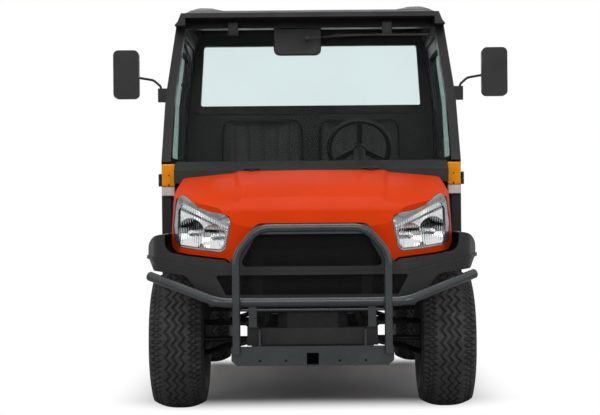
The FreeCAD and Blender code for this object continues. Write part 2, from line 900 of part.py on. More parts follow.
node("front_guard", front_guard())


def front_hitch_plate():
    """A drilled plate under the guard with a square receiver tube and two brackets to the rails."""
    face = ahead(-dim.front_overhang + dim.hoop_tube)
    low = dim.hitch_bottom
    plate_loop = symmetric([(0, hitch_top), (dim.hitch_half, hitch_top, 8), (dim.hitch_half, low + 22, 8),
                            (dim.hitch_half - 25, low, 8), (0, low)])
    half_bore = dim.receiver_bore / 2
    z = dim.receiver_height
    bore_loop = [(-half_bore, z - half_bore), (half_bore, z - half_bore), (half_bore, z + half_bore),
                 (-half_bore, z + half_bore)]
    outer = half_bore + dim.receiver_wall
    tube_loop = [(-outer, z - outer), (outer, z - outer), (outer, z + outer), (-outer, z + outer)]
    holes = [[(side * place, z - 8, "circle", dim.bolt_hole)]
             for place in (dim.inner_bolts, dim.outer_bolts) for side in (1, -1)]
    plate = prism("hitch_sheet", "XZ", face, face + dim.hitch_wall, plate_loop, bore_loop, *holes)
    tube = prism("receiver", "XZ", face, face + dim.receiver_depth, tube_loop, bore_loop)
    bracket = slab("hitch_bracket", (rail_inner - dim.hitch_wall, rail_inner),
                   (face + dim.hitch_wall, ahead(-430)),
                   (dim.hitch_bottom + 8, rail_top - 10))
    pin = rod("receiver_pin", "X", (-outer - 5, face + dim.pin_depth, z), outer * 2 + 10, dim.pin_bore)
    reach = rod("pin_reach", "X", (-rail_inner - 5, face + dim.pin_depth, z), rail_inner * 2 + 10,
                dim.pin_bore + 8)
    sides = cut("hitch_sides", fuse("hitch_brackets", bracket, mirror("hitch_twin", bracket)), reach)
    return cut("front_hitch_plate", fuse("hitch_solid", plate, tube, sides), pin)


node("front_hitch_plate", front_hitch_plate())


# Nose
def nose_solid(label, side, plan, front):
    """The space shared by a side profile, a plan outline and a front outline."""
    reach = dim.fender_half + 30
    return common(label,
                  prism(label + "_side", "YZ", -reach, reach, side),
                  prism(label + "_plan", "XY", dim.fascia_bottom - 40, cab_waist + 100, plan),
                  prism(label + "_front", "XZ", ahead(-700), ahead(500), front))


def hood_side(wall):
    """The hood from the side: its rounded nose, under a top that the crown draws lower."""
    lip = dim.hood_lip_height - wall
    front = ahead(-dim.hood_front) + wall
    rear = ahead(dim.hood_rear) + (10 if wall else 0)
    return [
        (rear, hood_rear_height + 40),
        (ahead(-280), lip + 146, 250),
        (front + 60, lip + 62, 60),
        (front, lip - 60, 60),
        (front, dim.fascia_bottom),
        (rear, dim.fascia_bottom),
    ]


def hood_crown(label, wall):
    """The hood's top, lofted through four sections, with two ridges that draw in towards the nose."""
    body = new_body(label)
    spread = dim.ridge_rear - dim.ridge_front
    sections = []
    stations = ((dim.hood_rear + 12, -2, 0), (-60, 54, 0.4), (-300, 124, 0.75), (-490, 215, 1))
    for place, drop, share in stations:
        top = hood_rear_height - drop - wall
        ridge = dim.ridge_rear - spread * share
        side = dim.hood_half + 20
        half = [
            (0, top),
            (ridge - 10, top - 3),
            (ridge + 10, top - 3 - dim.ridge_step),
            (600 - wall, top - 34),
            (side, top - 52),
            (side, dim.fascia_bottom - 20),
            (0, dim.fascia_bottom - 20),
        ]
        sections.append(new_sketch(body, "XZ", [symmetric(half)], -ahead(place)))
    loft = body.newObject("PartDesign::AdditiveLoft", body.Name + "Loft")
    loft.Profile = sections[0]
    loft.Sections = sections[1:]
    for sketch in sections:
        sketch.Visibility = False
    return body


def hood_plan(wall):
    """The hood from above."""
    front = ahead(-dim.hood_front) + wall
    side = dim.hood_half - wall
    return symmetric([
        (0, ahead(dim.hood_rear) + 20),
        (side, ahead(dim.hood_rear) + 20),
        (side, ahead(-80), 200),
        (side - 45, ahead(-250) + wall / 2, 60),
        (360, front + 30, 150),
        (0, front),
    ])


def hood_front(wall):
    """The hood from ahead: two legs beside the grille hang from the sides."""
    top = hood_rear_height + 50
    side = dim.hood_half - wall
    lip = dim.hood_lip_height
    if wall:
        return symmetric([(0, top), (side - dim.hood_draft, top), (side, lip - 60), (side, dim.fascia_bottom),
                          (0, dim.fascia_bottom)])
    return symmetric([
        (0, top),
        (side - dim.hood_draft, top),
        (side, lip - 60),
        (side, lip - dim.hood_corner, dim.hood_corner_round),
        (560, lip - 136),
        (380, lip - 154),
        (dim.leg_x, lip - 169),
        (dim.lip_corner, lip, dim.lip_round),
        (0, lip),
    ])


hood_outer = common("hood_outer", nose_solid("hood_block", hood_side(0), hood_plan(0), hood_front(0)),
                    hood_crown("hood_crown", 0))
hood_inner = common("hood_inner", nose_solid("hood_hollow", hood_side(dim.hood_wall),
                                             hood_plan(dim.hood_wall), hood_front(dim.hood_wall)),
                    hood_crown("hood_crown_inside", dim.hood_wall))
hood_shell = cut("hood_shell", hood_outer, hood_inner)

LAMP_OUTLINE = [(583, 130, 8), (614, 110, 16), (636, -10, 60), (626, -80, 20), (604, -104, 16),
                (508, -118, 80), (401, -129, 14), (379, -109, 20), (364, -46, 60), (356, 14, 10),
                (362, 32, 10), (404, 46, 60), (458, 55, 60), (507, 75, 50), (546, 106, 20), (569, 126, 8)]


def lamp_prism(label, inset):
    """A lamp's outline seen from ahead, given from the hood's lip, drawn in by a border."""
    middle = (500, -12)
    loop = []
    for x, rise, radius in LAMP_OUTLINE:
        span = math.hypot(x - middle[0], rise - middle[1])
        loop.append((x - (x - middle[0]) * inset / span,
                     dim.hood_lip_height + (rise - (rise - middle[1]) * inset / span), radius))
    return prism(label, "XZ", ahead(-480), ahead(-60), loop)


opening = lamp_prism("lamp_opening", 0)
hood_axis = (ahead(dim.hood_rear) + dim.panel_gap / 2, hood_rear_height + 8)


def hood():
    """The hood with both lamp openings."""
    return cut("hood", hood_shell, opening, mirror("lamp_opening_twin", opening))


node("hood", hood())


def hood_hinges():
    """The moving halves of the hood's hinges, which hook over its rear edge."""
    hinges = []
    for side in (1, -1):
        start = side * dim.hood_hinge_x - 13
        barrel = rod(f"hood_barrel_{side + 1}", "X", (start, *hood_axis), 26, 6)
        leaf = slab(f"hood_leaf_{side + 1}", (start, start + 26), (hood_axis[0] - 24, hood_axis[0]),
                    (hood_rear_height - 24, hood_axis[1] + 3))
        hole = rod(f"hood_pin_hole_{side + 1}", "X", (start - 2, *hood_axis), 30, 3 + dim.running_gap)
        hinges.append(cut(f"hood_hinge_{side + 1}", fuse(f"hood_hinge_solid_{side + 1}", barrel, leaf),
                          hole, hood_outer))
    return group("hood_hinges", *hinges)


node("hood_hinges", hood_hinges())
lens = common("lamp_lens", hood_shell, lamp_prism("lamp_lens_prism", 1.5))
node("headlamp_lenses", both("headlamp_lenses", lens))


def headlamp_bowl():
    """A lamp housing that follows the nose inside, hollowed by two round reflectors."""
    block = common("bowl_block", hood_inner, lamp_prism("bowl_prism", 3),
                   slab("bowl_depth", (300, 700), (ahead(-450), ahead(-150)),
                        (dim.hood_lip_height - 162, dim.hood_lip_height + 138)))
    bowls = []
    for index, (x, rise, y) in enumerate(((440, -42, -330), (548, -22, -235))):
        hollow = doc.addObject("Part::Cone", f"BowlHollow{index}")
        hollow.Label = f"bowl_hollow_{index}"
        hollow.Placement = Placement(Vector(), Rotation(Vector(1, 0, 0), 90))
        bind(hollow, "Radius1", dim.bowl_radius / 3)
        bind(hollow, "Radius2", dim.bowl_radius * 1.4)
        bind(hollow, "Height", dim.bowl_radius * 1.6)
        bowls.append(move(hollow, x, ahead(y), dim.hood_lip_height + rise))
    return cut("headlamp_bowl", block, *bowls)


node("headlamp_bowls", both("headlamp_bowls", headlamp_bowl()))


# Front fascia, fenders and grille
fascia_rear = ahead(dim.post_front) - dim.running_gap


def fascia_plan(wall):
    """The fascia and fenders from above."""
    front = ahead(-dim.fascia_front) + wall
    rear = fascia_rear + (10 if wall else 0)
    side = dim.fender_half - wall
    return symmetric([
        (0, rear),
        (side, rear),
        (side, ahead(-150), 200),
        (side - 45, ahead(-300), 80),
        (400, front + 20, 120),
        (0, front),
    ])


def fascia_block(tag, wall, edge):
    """The space behind the nose's black surface, drawn in by a wall, inside an outline from ahead."""
    rear = fascia_rear + (10 if float(wall) > 0 else 0)
    low = dim.fascia_bottom - 100
    box = prism(f"fascia_side_{tag}", "YZ", -dim.fender_half - 30, dim.fender_half + 30, [
        (ahead(-dim.fascia_front) + wall, low),
        (ahead(-dim.fascia_front) + wall, dim.hood_lip_height - 80, 80),
        (ahead(-dim.fascia_front + 38) + wall, dim.hood_lip_height + 10),
        (rear, dim.hood_lip_height + 10),
        (rear, low),
    ])
    plan = prism(f"fascia_plan_{tag}", "XY", low - 10, dim.hood_lip_height + 40, fascia_plan(wall))
    front = prism(f"fascia_front_{tag}", "XZ", ahead(-700), ahead(500), symmetric(edge))
    return common(f"fascia_block_{tag}", box, plan, front)


def fascia_outline():
    """The black part of the nose from ahead: it meets the hood along its lower edge."""
    gap = dim.panel_gap
    lip = dim.hood_lip_height
    side = dim.fender_half
    return [
        (0, lip - gap),
        (dim.lip_corner + 4, lip - gap, dim.lip_round),
        (dim.leg_x + 2, lip - 168 - gap),
        (382, lip - 154 - gap),
        (560, lip - 136 - gap),
        (dim.hood_half + gap + 2, lip - dim.hood_corner - gap, dim.hood_corner_round),
        (dim.hood_half + gap + 2, fender_top),
        (side, fender_top, dim.fender_round),
        (side, dim.fender_bottom + 62, dim.fender_curl),
        (side - 40, dim.fender_bottom - 2, 12),
        (560, dim.fender_bottom - 20, 60),
        (450, dim.fascia_bottom),
        (0, dim.fascia_bottom),
    ]


def fascia_hollow():
    """What the fascia is hollow by: the same form one wall further in, and open above."""
    brow = dim.hood_half + 12
    top = fender_top - dim.fascia_wall
    side = dim.fender_half - dim.fascia_wall
    return fascia_block("hollow", dim.fascia_wall, [
        (0, dim.hood_lip_height + 20),
        (brow, dim.hood_lip_height + 20),
        (brow, top),
        (side, top, dim.fender_round - dim.fascia_wall),
        (side, dim.fascia_bottom - 50),
        (0, dim.fascia_bottom - 50),
    ])


def brow_band():
    """A raised edge that sweeps over the lower mouth and on to the ends of both fenders."""
    side = dim.fender_half + dim.brow_proud
    return fascia_block("brow", -dim.brow_proud, [
        (0, 652),
        (425, 652, 150),
        (600, 692, 150),
        (side, 718),
        (side, 704),
        (600, 678, 150),
        (432, 638, 150),
        (0, 638),
    ])


def mouth(label, border, start, stop):
    """Both grille mouths seen from ahead, widened by a border."""
    top = dim.hood_lip_height - dim.mouth_drop + border
    upper = symmetric([(0, top), (dim.mouth_top_half + border, top, 30 + border),
                       (dim.mouth_low_half + border, 674 - border, 20 + border), (0, 674 - border)])
    lower = symmetric([(0, 636 + border), (423 + border, 636 + border, 8), (376 + border, 550 - border, 8),
                       (0, 550 - border)])
    return prism(label, "XZ", start, stop, upper, lower)


grille_face = ahead(-dim.fascia_front) + 45
fascia_outer = fascia_block("outer", 0, fascia_outline())
fascia_shell = cut("fascia_shell", fuse("fascia_skin", fascia_outer, brow_band()), fascia_hollow())
mouth_rims = common("mouth_rims", mouth("mouth_rim_block", 6, ahead(-540), grille_face), fascia_outer)
grille_mouths = mouth("grille_mouths", 0, ahead(-550), grille_face + 10)
wheel_room = rod("wheel_room", "X", (dim.hood_half - 285, front_axle, hub_z), 500, dim.tyre_radius + 40)
node("front_fascia", cut("front_fascia", fuse("fascia_body", fascia_shell, mouth_rims), grille_mouths,
                         wheel_room, mirror("wheel_room_twin", wheel_room)))


def bars(body, plane, start, stop, loop, axis, reach, count):
    """A bar drawn once in a body and repeated along an axis, the last one a reach away."""
    sketch = new_sketch(body, plane, [loop], -start)
    pad = body.newObject("PartDesign::Pad", body.Name + "Bar")
    pad.Profile = sketch
    pad.Reversed = True
    bind(pad, "Length", stop - start)
    row = body.newObject("PartDesign::LinearPattern", body.Name + "Row")
    row.Originals = [pad]
    row.Direction = (origin_item(body, axis + "_Axis"), [""])
    bind(row, "Length", reach)
    row.Occurrences = count
    body.Tip = row


def grid(label, face, half, low, high, columns, rows):
    """A flat frame filled with crossed bars."""
    bar = dim.grille_bar
    back = face + dim.grille_wall
    body = prism(label, "XZ", face, back,
                 [(-half, low), (half, low), (half, high), (-half, high)],
                 [(-half + bar, low + bar), (half - bar, low + bar), (half - bar, high - bar),
                  (-half + bar, high - bar)])
    wide = (half * 2 - bar) / columns
    tall = (high - low - bar) / rows
    upright = [(-half + wide, low), (-half + wide + bar, low), (-half + wide + bar, high),
               (-half + wide, high)]
    bars(body, "XZ", face + 1, back - 1, upright, "X", wide * (columns - 2), columns - 1)
    level = [(-half, low + tall), (half, low + tall), (half, low + tall + bar), (-half, low + tall + bar)]
    if rows > 2:
        bars(body, "XZ", face + 2, back - 2, level, "Z", tall * (rows - 2), rows - 1)
    return body


def grille():
    """Two flat grids of crossed bars behind the mouths of the fascia."""
    upper = grid("grid_upper", grille_face, dim.mouth_low_half + 8, 668,
                 dim.hood_lip_height - dim.mouth_drop + 6, 18, 7)
    lower = grid("grid_lower", grille_face, dim.mouth_low_half + 110, 543, 643, 24, 4)
    return common("grille", group("grid_pair", upper, lower),
                  mouth("mouth_room", 4, grille_face, grille_face + dim.grille_wall))


node("grille", grille())


def cowl():
    """The black panel between hood and windscreen, with the fixed halves of the hood's hinges."""
    front = ahead(dim.hood_rear) + dim.panel_gap
    side = [
        (front, hood_rear_height - 60),
        (front, hood_rear_height + 2),
        (ahead(dim.pillar_front), cab_waist),
        (ahead(dim.post_front), cab_waist),
        (ahead(dim.post_front), hood_rear_height - 60),
    ]
    half = dim.hood_half + 15
    pieces = [prism("cowl_panel", "YZ", -half, half, side)]
    for side_sign in (1, -1):
        start = side_sign * dim.hood_hinge_x - 40
        for index, shift in enumerate((0, 54)):
            pieces.append(rod(f"cowl_barrel_{side_sign + 1}_{index}", "X", (start + shift, *hood_axis),
                              26, 6))
            pieces.append(slab(f"cowl_leaf_{side_sign + 1}_{index}", (start + shift, start + shift + 26),
                               (hood_axis[0], hood_axis[0] + 20), (hood_rear_height - 2, hood_axis[1] + 4)))
        pieces.append(rod(f"cowl_pin_{side_sign + 1}", "X", (start, *hood_axis), 80, 3))
    return fuse("cowl", *pieces)


node("cowl", cowl())


# Cab
def strip(label, plane_from, plane_to, outer, wall):
    """A side wall seen from ahead: upright to the waist, then leaning in to the shoulder and more above."""
    at_shoulder = outer - (dim.cab_half - dim.cab_shoulder_half)
    at_top = outer - (dim.cab_half - dim.cab_top_half)
    loop = [
        (outer, dim.cab_bottom),
        (outer, cab_waist),
        (at_shoulder, cab_shoulder),
        (at_top, cab_top),
        (at_top - wall, cab_top),
        (at_shoulder - wall, cab_shoulder),
        (outer - wall, cab_waist),
        (outer - wall, dim.cab_bottom),
    ]
    return prism(label, "XZ", plane_from, plane_to, loop)


header_half = cab_top_inner - 8


def pillar_at(z):
    """Where the front edge of the windscreen pillar lies at a height."""
    return ahead(dim.pillar_front) + dim.pillar_lean * (z - cab_waist) / dim.cab_height


def side_at(z):
    """How far out the leaning cab side stands at a height above the waist."""
    if float(z) < float(cab_shoulder):
        share = (z - cab_waist) / (cab_shoulder - cab_waist)
        return dim.cab_half - (dim.cab_half - dim.cab_shoulder_half) * share
    share = (z - cab_shoulder) / dim.shoulder_drop
    return dim.cab_shoulder_half - (dim.cab_shoulder_half - dim.cab_top_half) * share


def door_loop(gap):
    """The door opening from the side, or with a gap the door that fills it."""
    head = door_head - gap
    return [
        (ahead(dim.door_front) + gap, dim.door_bottom + gap, 30),
        (ahead(dim.door_front) + gap, cab_waist, 120),
        (pillar_at(head) + dim.pillar_width + gap, head, 40),
        (ahead(dim.door_rear) - gap, head, 50),
        (ahead(dim.door_rear) - gap, dim.door_bottom + gap, 30),
    ]


def cab_frame():
    """Both cab sides with their door openings, tied by a header over the windscreen."""
    side_loop = [
        (ahead(dim.post_front), dim.cab_bottom),
        (ahead(dim.post_front), cab_waist - 10),
        (ahead(dim.pillar_front), cab_waist),
        (pillar_at(cab_top), cab_top),
        (ahead(dim.cab_rear), cab_top),
        (ahead(dim.cab_rear), dim.cab_bottom),
    ]
    outline = prism("cab_side_outline", "YZ", cab_top_inner - 20, dim.cab_half + 30, side_loop, door_loop(0))
    side = common("cab_side", strip("cab_side_strip", ahead(300), ahead(1400), dim.cab_half, dim.cab_wall),
                  outline)
    head = header_top
    head_low = head - dim.header_height
    header_side = [
        (pillar_at(head_low), head_low),
        (pillar_at(head), head),
        (pillar_at(head) + 60, head),
        (pillar_at(head) + 60, head_low),
    ]
    header_front = symmetric([(0, head), (header_half, head), (header_half, cab_top),
                              (cab_top_inner + dim.cab_wall / 2, cab_top),
                              (cab_top_inner + dim.cab_wall / 2, head_low), (0, head_low)])
    header = common("cab_header", prism("header_side", "YZ", -dim.cab_half, dim.cab_half, header_side),
                    prism("header_front", "XZ", ahead(300), ahead(900), header_front))
    return fuse("cab_frame", side, mirror("cab_side_twin", side), header)


node("cab_frame", cab_frame())


def rear_wall():
    """The back of the cab, with an opening for the rear glass."""
    half_loop = [
        (0, header_top),
        (header_half, header_top),
        (header_half, cab_top),
        (cab_top_inner, cab_top),
        (cab_shoulder_inner, cab_shoulder),
        (cab_inner, cab_waist),
        (cab_inner, dim.cab_bottom),
        (0, dim.cab_bottom),
    ]
    return prism("rear_wall", "XZ", ahead(dim.cab_rear) - dim.rear_wall, ahead(dim.cab_rear),
                 symmetric(half_loop), rear_glass_loop())


def rear_glass_loop():
    """The rear glass from behind."""
    return symmetric([(0, rear_glass_head), (dim.rear_glass_half - 22, rear_glass_head, 12),
                      (dim.rear_glass_half, dim.rear_glass_sill, 12), (0, dim.rear_glass_sill)])


node("rear_wall", rear_wall())


wiper_z = header_top - dim.header_height - dim.wiper_drop


def cab_glass():
    """The windscreen between the pillars, drilled for the wiper's spindle, and the rear glass."""
    head = header_top - dim.header_height
    thick = dim.glass_wall
    screen_side = [
        (pillar_at(cab_waist), cab_waist),
        (pillar_at(head), head),
        (pillar_at(head) + thick, head),
        (pillar_at(cab_waist) + thick, cab_waist),
    ]
    screen_front = symmetric([(0, head), (side_at(head) - dim.cab_wall, head),
                              (cab_shoulder_inner, cab_shoulder), (cab_inner, cab_waist), (0, cab_waist)])
    screen = common("windscreen",
                    prism("screen_side", "YZ", -cab_inner, cab_inner, screen_side),
                    prism("screen_front", "XZ", ahead(300), ahead(700), screen_front))
    middle = ahead(dim.cab_rear) - dim.rear_wall / 2
    back = prism("rear_glass", "XZ", middle - thick / 2, middle + thick / 2, rear_glass_loop())
    spindle = rod("wiper_hole", "Y", (dim.wiper_x, pillar_at(wiper_z) - 60, wiper_z), 120,
                  dim.wiper_spindle + dim.running_gap)
    return group("cab_glass", cut("windscreen_drilled", screen, spindle), back)


node("cab_glass", cab_glass())


def wiper():
    """The wiper's motor housing under the header, its spindle through the glass, its arm and blade."""
    head = header_top - dim.header_height - dim.running_gap
    low = head - dim.wiper_housing
    back = dim.glass_wall + 6
    housing = prism("wiper_housing", "YZ", dim.wiper_x - 170, dim.wiper_x + 70, [
        (pillar_at(low) + back, low, 12),
        (pillar_at(head) + back, head),
        (pillar_at(head) + 58, head),
        (pillar_at(low) + 70, low, 12),
    ])
    face = pillar_at(wiper_z)
    spindle = rod("wiper_spindle_rod", "Y", (dim.wiper_x, face - 24, wiper_z), 60, dim.wiper_spindle)
    tip = (dim.wiper_x + 360, pillar_at(wiper_z + 14) - 7, wiper_z + 14)
    arm = bar_between("wiper_arm", (dim.wiper_x, face - 18, wiper_z), tip, 5)
    blade = rod("wiper_blade", "X", (dim.wiper_x + 130, tip[1], tip[2]), 480, 5)
    return fuse("wiper", housing, spindle, arm, blade)


node("wiper", wiper())


def floor_tub():
    """The floor with its upturned toe board and the two sills under the doors."""
    low = rail_top
    toe = ahead(dim.toe_board)
    section = [
        (toe, low),
        (toe - 40, floor_top + 100),
        (toe - 40, hood_rear_height - 60),
        (toe - 40 + dim.floor_wall, hood_rear_height - 60),
        (toe - 40 + dim.floor_wall, floor_top + 100),
        (toe + 8, floor_top),
        (ahead(dim.cab_rear) - dim.rear_wall, floor_top),
        (ahead(dim.cab_rear) - dim.rear_wall, low),
    ]
    tub = prism("floor_sheet", "YZ", -cab_inner, cab_inner, section)
    sill = slab("sill", (cab_inner - 60, dim.cab_half), (toe, ahead(dim.cab_rear)), (low - 60, low))
    lip = slab("sill_lip", (cab_inner, dim.cab_half), (toe, ahead(dim.cab_rear)), (low, dim.cab_bottom))
    return fuse("floor_tub", tub, sill, mirror("sill_twin", sill), lip, mirror("sill_lip_twin", lip))


node("floor_tub", floor_tub())


def roof():
    """A moulded cap with a raised rail along each side, hollow over the seats."""
    inside = header_half + 1
    middle = header_top + dim.roof_middle_rise
    rail_crest = header_top + dim.roof_rail_rise
    crown = symmetric([
        (0, middle),
        (440, middle, 30),
        (500, rail_crest - 6, 30),
        (575, rail_crest, 45),
        (dim.roof_side_half, header_top + dim.roof_shoulder_rise, 60),
        (dim.roof_edge_half, cab_top + dim.roof_edge_rise, 15),
        (dim.cab_top_half, cab_top),
        (inside, cab_top),
        (inside, header_top),
        (0, header_top),
    ])
    side = [
        (ahead(dim.roof_front), cab_top - 10),
        (ahead(dim.roof_front), header_top + dim.roof_lip_rise),
        (ahead(dim.roof_front) + 110, middle + 5, 100),
        (ahead(700), rail_crest + 5, 300),
        (ahead(dim.roof_rear) - 150, rail_crest + 5, 200),
        (ahead(dim.roof_rear), middle - 15, 60),
        (ahead(dim.roof_rear), cab_top - 10),
    ]
    cap = common("roof_cap", prism("roof_crown", "XZ", ahead(400), ahead(1500), crown),
                 prism("roof_side", "YZ", -dim.cab_half, dim.cab_half, side))
    lining = slab("roof_lining", (-600, 600),
                  (pillar_at(header_top) + 60, ahead(dim.cab_rear) - dim.rear_wall),
                  (header_top - 1, header_top + dim.roof_lining_rise))
    return cut("roof", cap, lining)


node("roof", roof())


# Doors
def window_loop():
    """The window of a door from the side."""
    border = dim.window_border
    head = door_head - border
    return [
        (ahead(dim.door_front) + border + 10, window_sill, 30),
        (pillar_at(head) + dim.pillar_width + border, head, 40),
        (ahead(dim.door_rear) - border, head, 40),
        (ahead(dim.door_rear) - border, window_sill, 40),
    ]


hinge_heights = (dim.door_bottom + 170, cab_waist - 120)


def hinge_barrel(label, z, radius, height):
    """A hinge knuckle beside the door's front edge."""
    return rod(label, "Z", (dim.cab_half + 12, ahead(dim.door_front) - 5, z), height, radius)


def door():
    """A door with its window cut, its hinge barrels and a pull handle."""
    outline = prism("door_outline", "YZ", cab_top_inner - 20, dim.cab_half + 30, door_loop(dim.door_gap),
                    window_loop())
    panel = common("door_panel", strip("door_strip", ahead(300), ahead(1400), dim.cab_half, dim.door_wall),
                   outline)
    pieces = [panel]
    for index, z in enumerate(hinge_heights):
        pieces.append(hinge_barrel(f"door_barrel_{index}", z + 31, 9, 30))
        pieces.append(slab(f"door_leaf_{index}", (dim.cab_half, dim.cab_half + 6),
                           (ahead(dim.door_front) - 5, ahead(dim.door_front) + 60), (z + 31, z + 61)))
    pieces.append(slab("door_handle", (dim.cab_half, dim.cab_half + 22),
                       (ahead(dim.door_rear) - 130, ahead(dim.door_rear) - 40),
                       (cab_waist - 110, cab_waist - 75)))
    holes = [hinge_barrel(f"door_pin_hole_{index}", z + 20, 5 + dim.running_gap, 60)
             for index, z in enumerate(hinge_heights)]
    return cut("door_left", fuse("door_solid", *pieces), *holes)


left_door = node("door_left", door())
node("door_right", mirror("door_right", left_door))
pane = common("door_glass_left",
              strip("door_glass_strip", ahead(300), ahead(1400), dim.cab_half - dim.door_wall / 2,
                    dim.glass_wall),
              prism("door_glass_outline", "YZ", cab_top_inner - 20, dim.cab_half + 30, window_loop()))
node("door_glass_left", pane)
node("door_glass_right", mirror("door_glass_right", pane))


def door_hinges():
    """The fixed halves of the door hinges with their pins, on the front posts."""
    pieces = []
    for index, z in enumerate(hinge_heights):
        pieces.append(hinge_barrel(f"post_barrel_{index}", z, 9, 30))
        pieces.append(hinge_barrel(f"post_pin_{index}", z, 5, 62))
        pieces.append(slab(f"post_leaf_{index}", (dim.cab_half, dim.cab_half + 6),
                           (ahead(dim.post_front) + 5, ahead(dim.door_front) - 5), (z, z + 30)))
    upper = fuse("hinge_upper", *pieces[3:])
    lower = fuse("hinge_lower", *pieces[:3])
    return both("door_hinges", group("hinge_pair", lower, upper))


node("door_hinges", door_hinges())


# Inside the cab
def seats():
    """Two cushions and two backs on one raised base."""
    half = dim.seat_width / 2
    front = ahead(dim.seat_front)
    rear = front + dim.seat_depth
    cushion = slab("cushion", (dim.seat_centre - half, dim.seat_centre + half), (front, rear),
                   (dim.seat_top - dim.seat_pad, dim.seat_top))
    back_loop = [
        (rear - 60, dim.seat_top + dim.running_gap),
        (rear + 10, dim.seat_back_top, 40),
        (rear + 85, dim.seat_back_top, 30),
        (rear + 70, dim.seat_top + dim.running_gap),
    ]
    back = prism("backrest", "YZ", dim.seat_centre - half, dim.seat_centre + half, back_loop)
    node("seat_cushions", both("seat_cushions", cushion))
    node("seat_backs", both("seat_backs", back))
    edge = dim.seat_centre + half + 10
    node("seat_base", slab("seat_base", (-edge, edge), (front - 10, ahead(dim.cab_rear) - dim.rear_wall),
                           (floor_top, dim.seat_top - dim.seat_pad)))


seats()
dash_loop = [
    (ahead(370), hood_rear_height - 62),
    (ahead(370), cab_waist - 5),
    (ahead(480), cab_waist - 5, 40),
    (ahead(530), cab_waist - 60, 30),
    (ahead(520), cab_waist - 200, 30),
    (ahead(400), cab_waist - 230),
]
dash_block = prism("dash_block", "YZ", 2 - cab_inner, cab_inner - 2, dash_loop)


def steering_wheel():
    """A round rim on three spokes, tilted towards the driver."""
    ring = doc.addObject("Part::Torus", "SteeringRing")
    ring.Label = "steering_ring"
    bind(ring, "Radius1", dim.wheel_rim_radius)
    bind(ring, "Radius2", dim.wheel_rim_tube)
    hub = rod("steering_hub", "Z", (0, 0, -38), 40, 34)
    spokes = []
    for turn in (0, 120, 240):
        spoke = slab(f"spoke_{turn}", (-14, 14), (0, dim.wheel_rim_radius), (-12, -4))
        spoke.Placement = Placement(Vector(), Rotation(Vector(0, 0, 1), turn + 180))
        move(spoke, 14 * math.cos(math.radians(turn + 180)) * -1,
             14 * math.sin(math.radians(turn + 180)) * -1, -12)
        spokes.append(spoke)
    socket = rod("steering_socket", "Z", (0, 0, -40), 30, dim.column_shaft + dim.running_gap)
    wheel_solid = cut("steering_wheel", fuse("steering_solid", ring, hub, *spokes), socket)
    wheel_solid.Placement = Placement(Vector(), Rotation(Vector(1, 0, 0), -float(dim.wheel_tilt)))
    return move(wheel_solid, dim.wheel_x, ahead(dim.wheel_s), steering_z)


node("steering_wheel", steering_wheel())


def driver_controls():
    """The steering column and gear lever, which come through the dash, and two pedals."""
    tilt = math.radians(float(dim.wheel_tilt))
    along = Vector(0, math.sin(tilt), math.cos(tilt))
    centre = Vector(float(dim.wheel_x), float(ahead(dim.wheel_s)), float(steering_z))
    top = centre - along * 40
    foot = centre - along * 260
    column = fuse("column", bar_between("column_tube", tuple(top), tuple(foot), 30),
                  bar_between("column_shaft", tuple(centre - along * 12), tuple(centre - along * 60),
                              dim.column_shaft))
    pedals = []
    for index, x in enumerate((200, 320)):
        wall = ahead(dim.toe_board) - 40 + dim.floor_wall
        boss = slab(f"pedal_boss_{index}", (x - 15, x + 15), (wall, wall + 18),
                    (floor_top + 315, floor_top + 345))
        arm = bar_between(f"pedal_arm_{index}", (x, wall + 12, floor_top + 330),
                          (x, ahead(470), floor_top + 130), 7)
        pad = slab(f"pedal_pad_{index}", (x - 35, x + 35), (ahead(458), ahead(472)),
                   (floor_top + 95, floor_top + 170))
        pedals.append(fuse(f"pedal_{index}", boss, arm, pad))
    lever_top = (60, ahead(600), cab_waist - 40)
    lever_root = (60, ahead(515), cab_waist - 110)
    lever = fuse("gear_lever", bar_between("lever_rod", lever_root, lever_top, 7),
                 ball("lever_knob", lever_top, 22))
    column_room = bar_between("column_room", tuple(top), tuple(foot - along * 2), 30 + dim.running_gap)
    room_root = (60, ahead(515) - dim.running_gap, cab_waist - 110 - dim.running_gap)
    lever_room = bar_between("lever_room", room_root, lever_top, 7 + dim.running_gap)
    node("dashboard", cut("dashboard", dash_block, column_room, lever_room))
    return group("driver_controls", column, *pedals, lever)


node("driver_controls", driver_controls())


# Lamps, mirrors and wiper
signal = slab("signal_lamp", (665, 735), (ahead(dim.post_front) - 32, ahead(dim.post_front)),
              (cab_waist - 169, cab_waist - 11))
node("signal_lamps", both("signal_lamps", signal))


def mirrors():
    """A mirror housing on a bent rod from each windscreen pillar."""
    half = dim.mirror_width / 2
    tall = dim.mirror_height / 2
    y = ahead(250)
    loop = [(dim.mirror_x - half, mirror_z - tall, 25), (dim.mirror_x + half, mirror_z - tall, 25),
            (dim.mirror_x + half, mirror_z + tall, 25), (dim.mirror_x - half, mirror_z + tall, 25)]
    housing = prism("mirror_housing", "XZ", y, y + 45, loop)
    high = mirror_z - 54
    low = high - 68
    foot_y = pillar_at(high - 30)
    foot_x = side_at(low)
    arm = bent_rod("mirror_arm", [
        (dim.mirror_x, y + 30, mirror_z),
        (dim.mirror_x, y + 90, mirror_z),
        (foot_x + 60, foot_y + 20, high + 42),
        (foot_x + 24, foot_y + 20, high + 10),
        (foot_x + 24, foot_y + 20, low + 8),
    ], [20, 25, 20], 6)
    bracket = prism("mirror_bracket", "XZ", foot_y + 5, foot_y + 35,
                    [(foot_x, low), (foot_x + 38, low), (foot_x + 38, high), (side_at(high), high),
                     (dim.cab_shoulder_half, cab_shoulder)])
    return both("mirrors", fuse("mirror", housing, arm, bracket))


node("mirrors", mirrors())


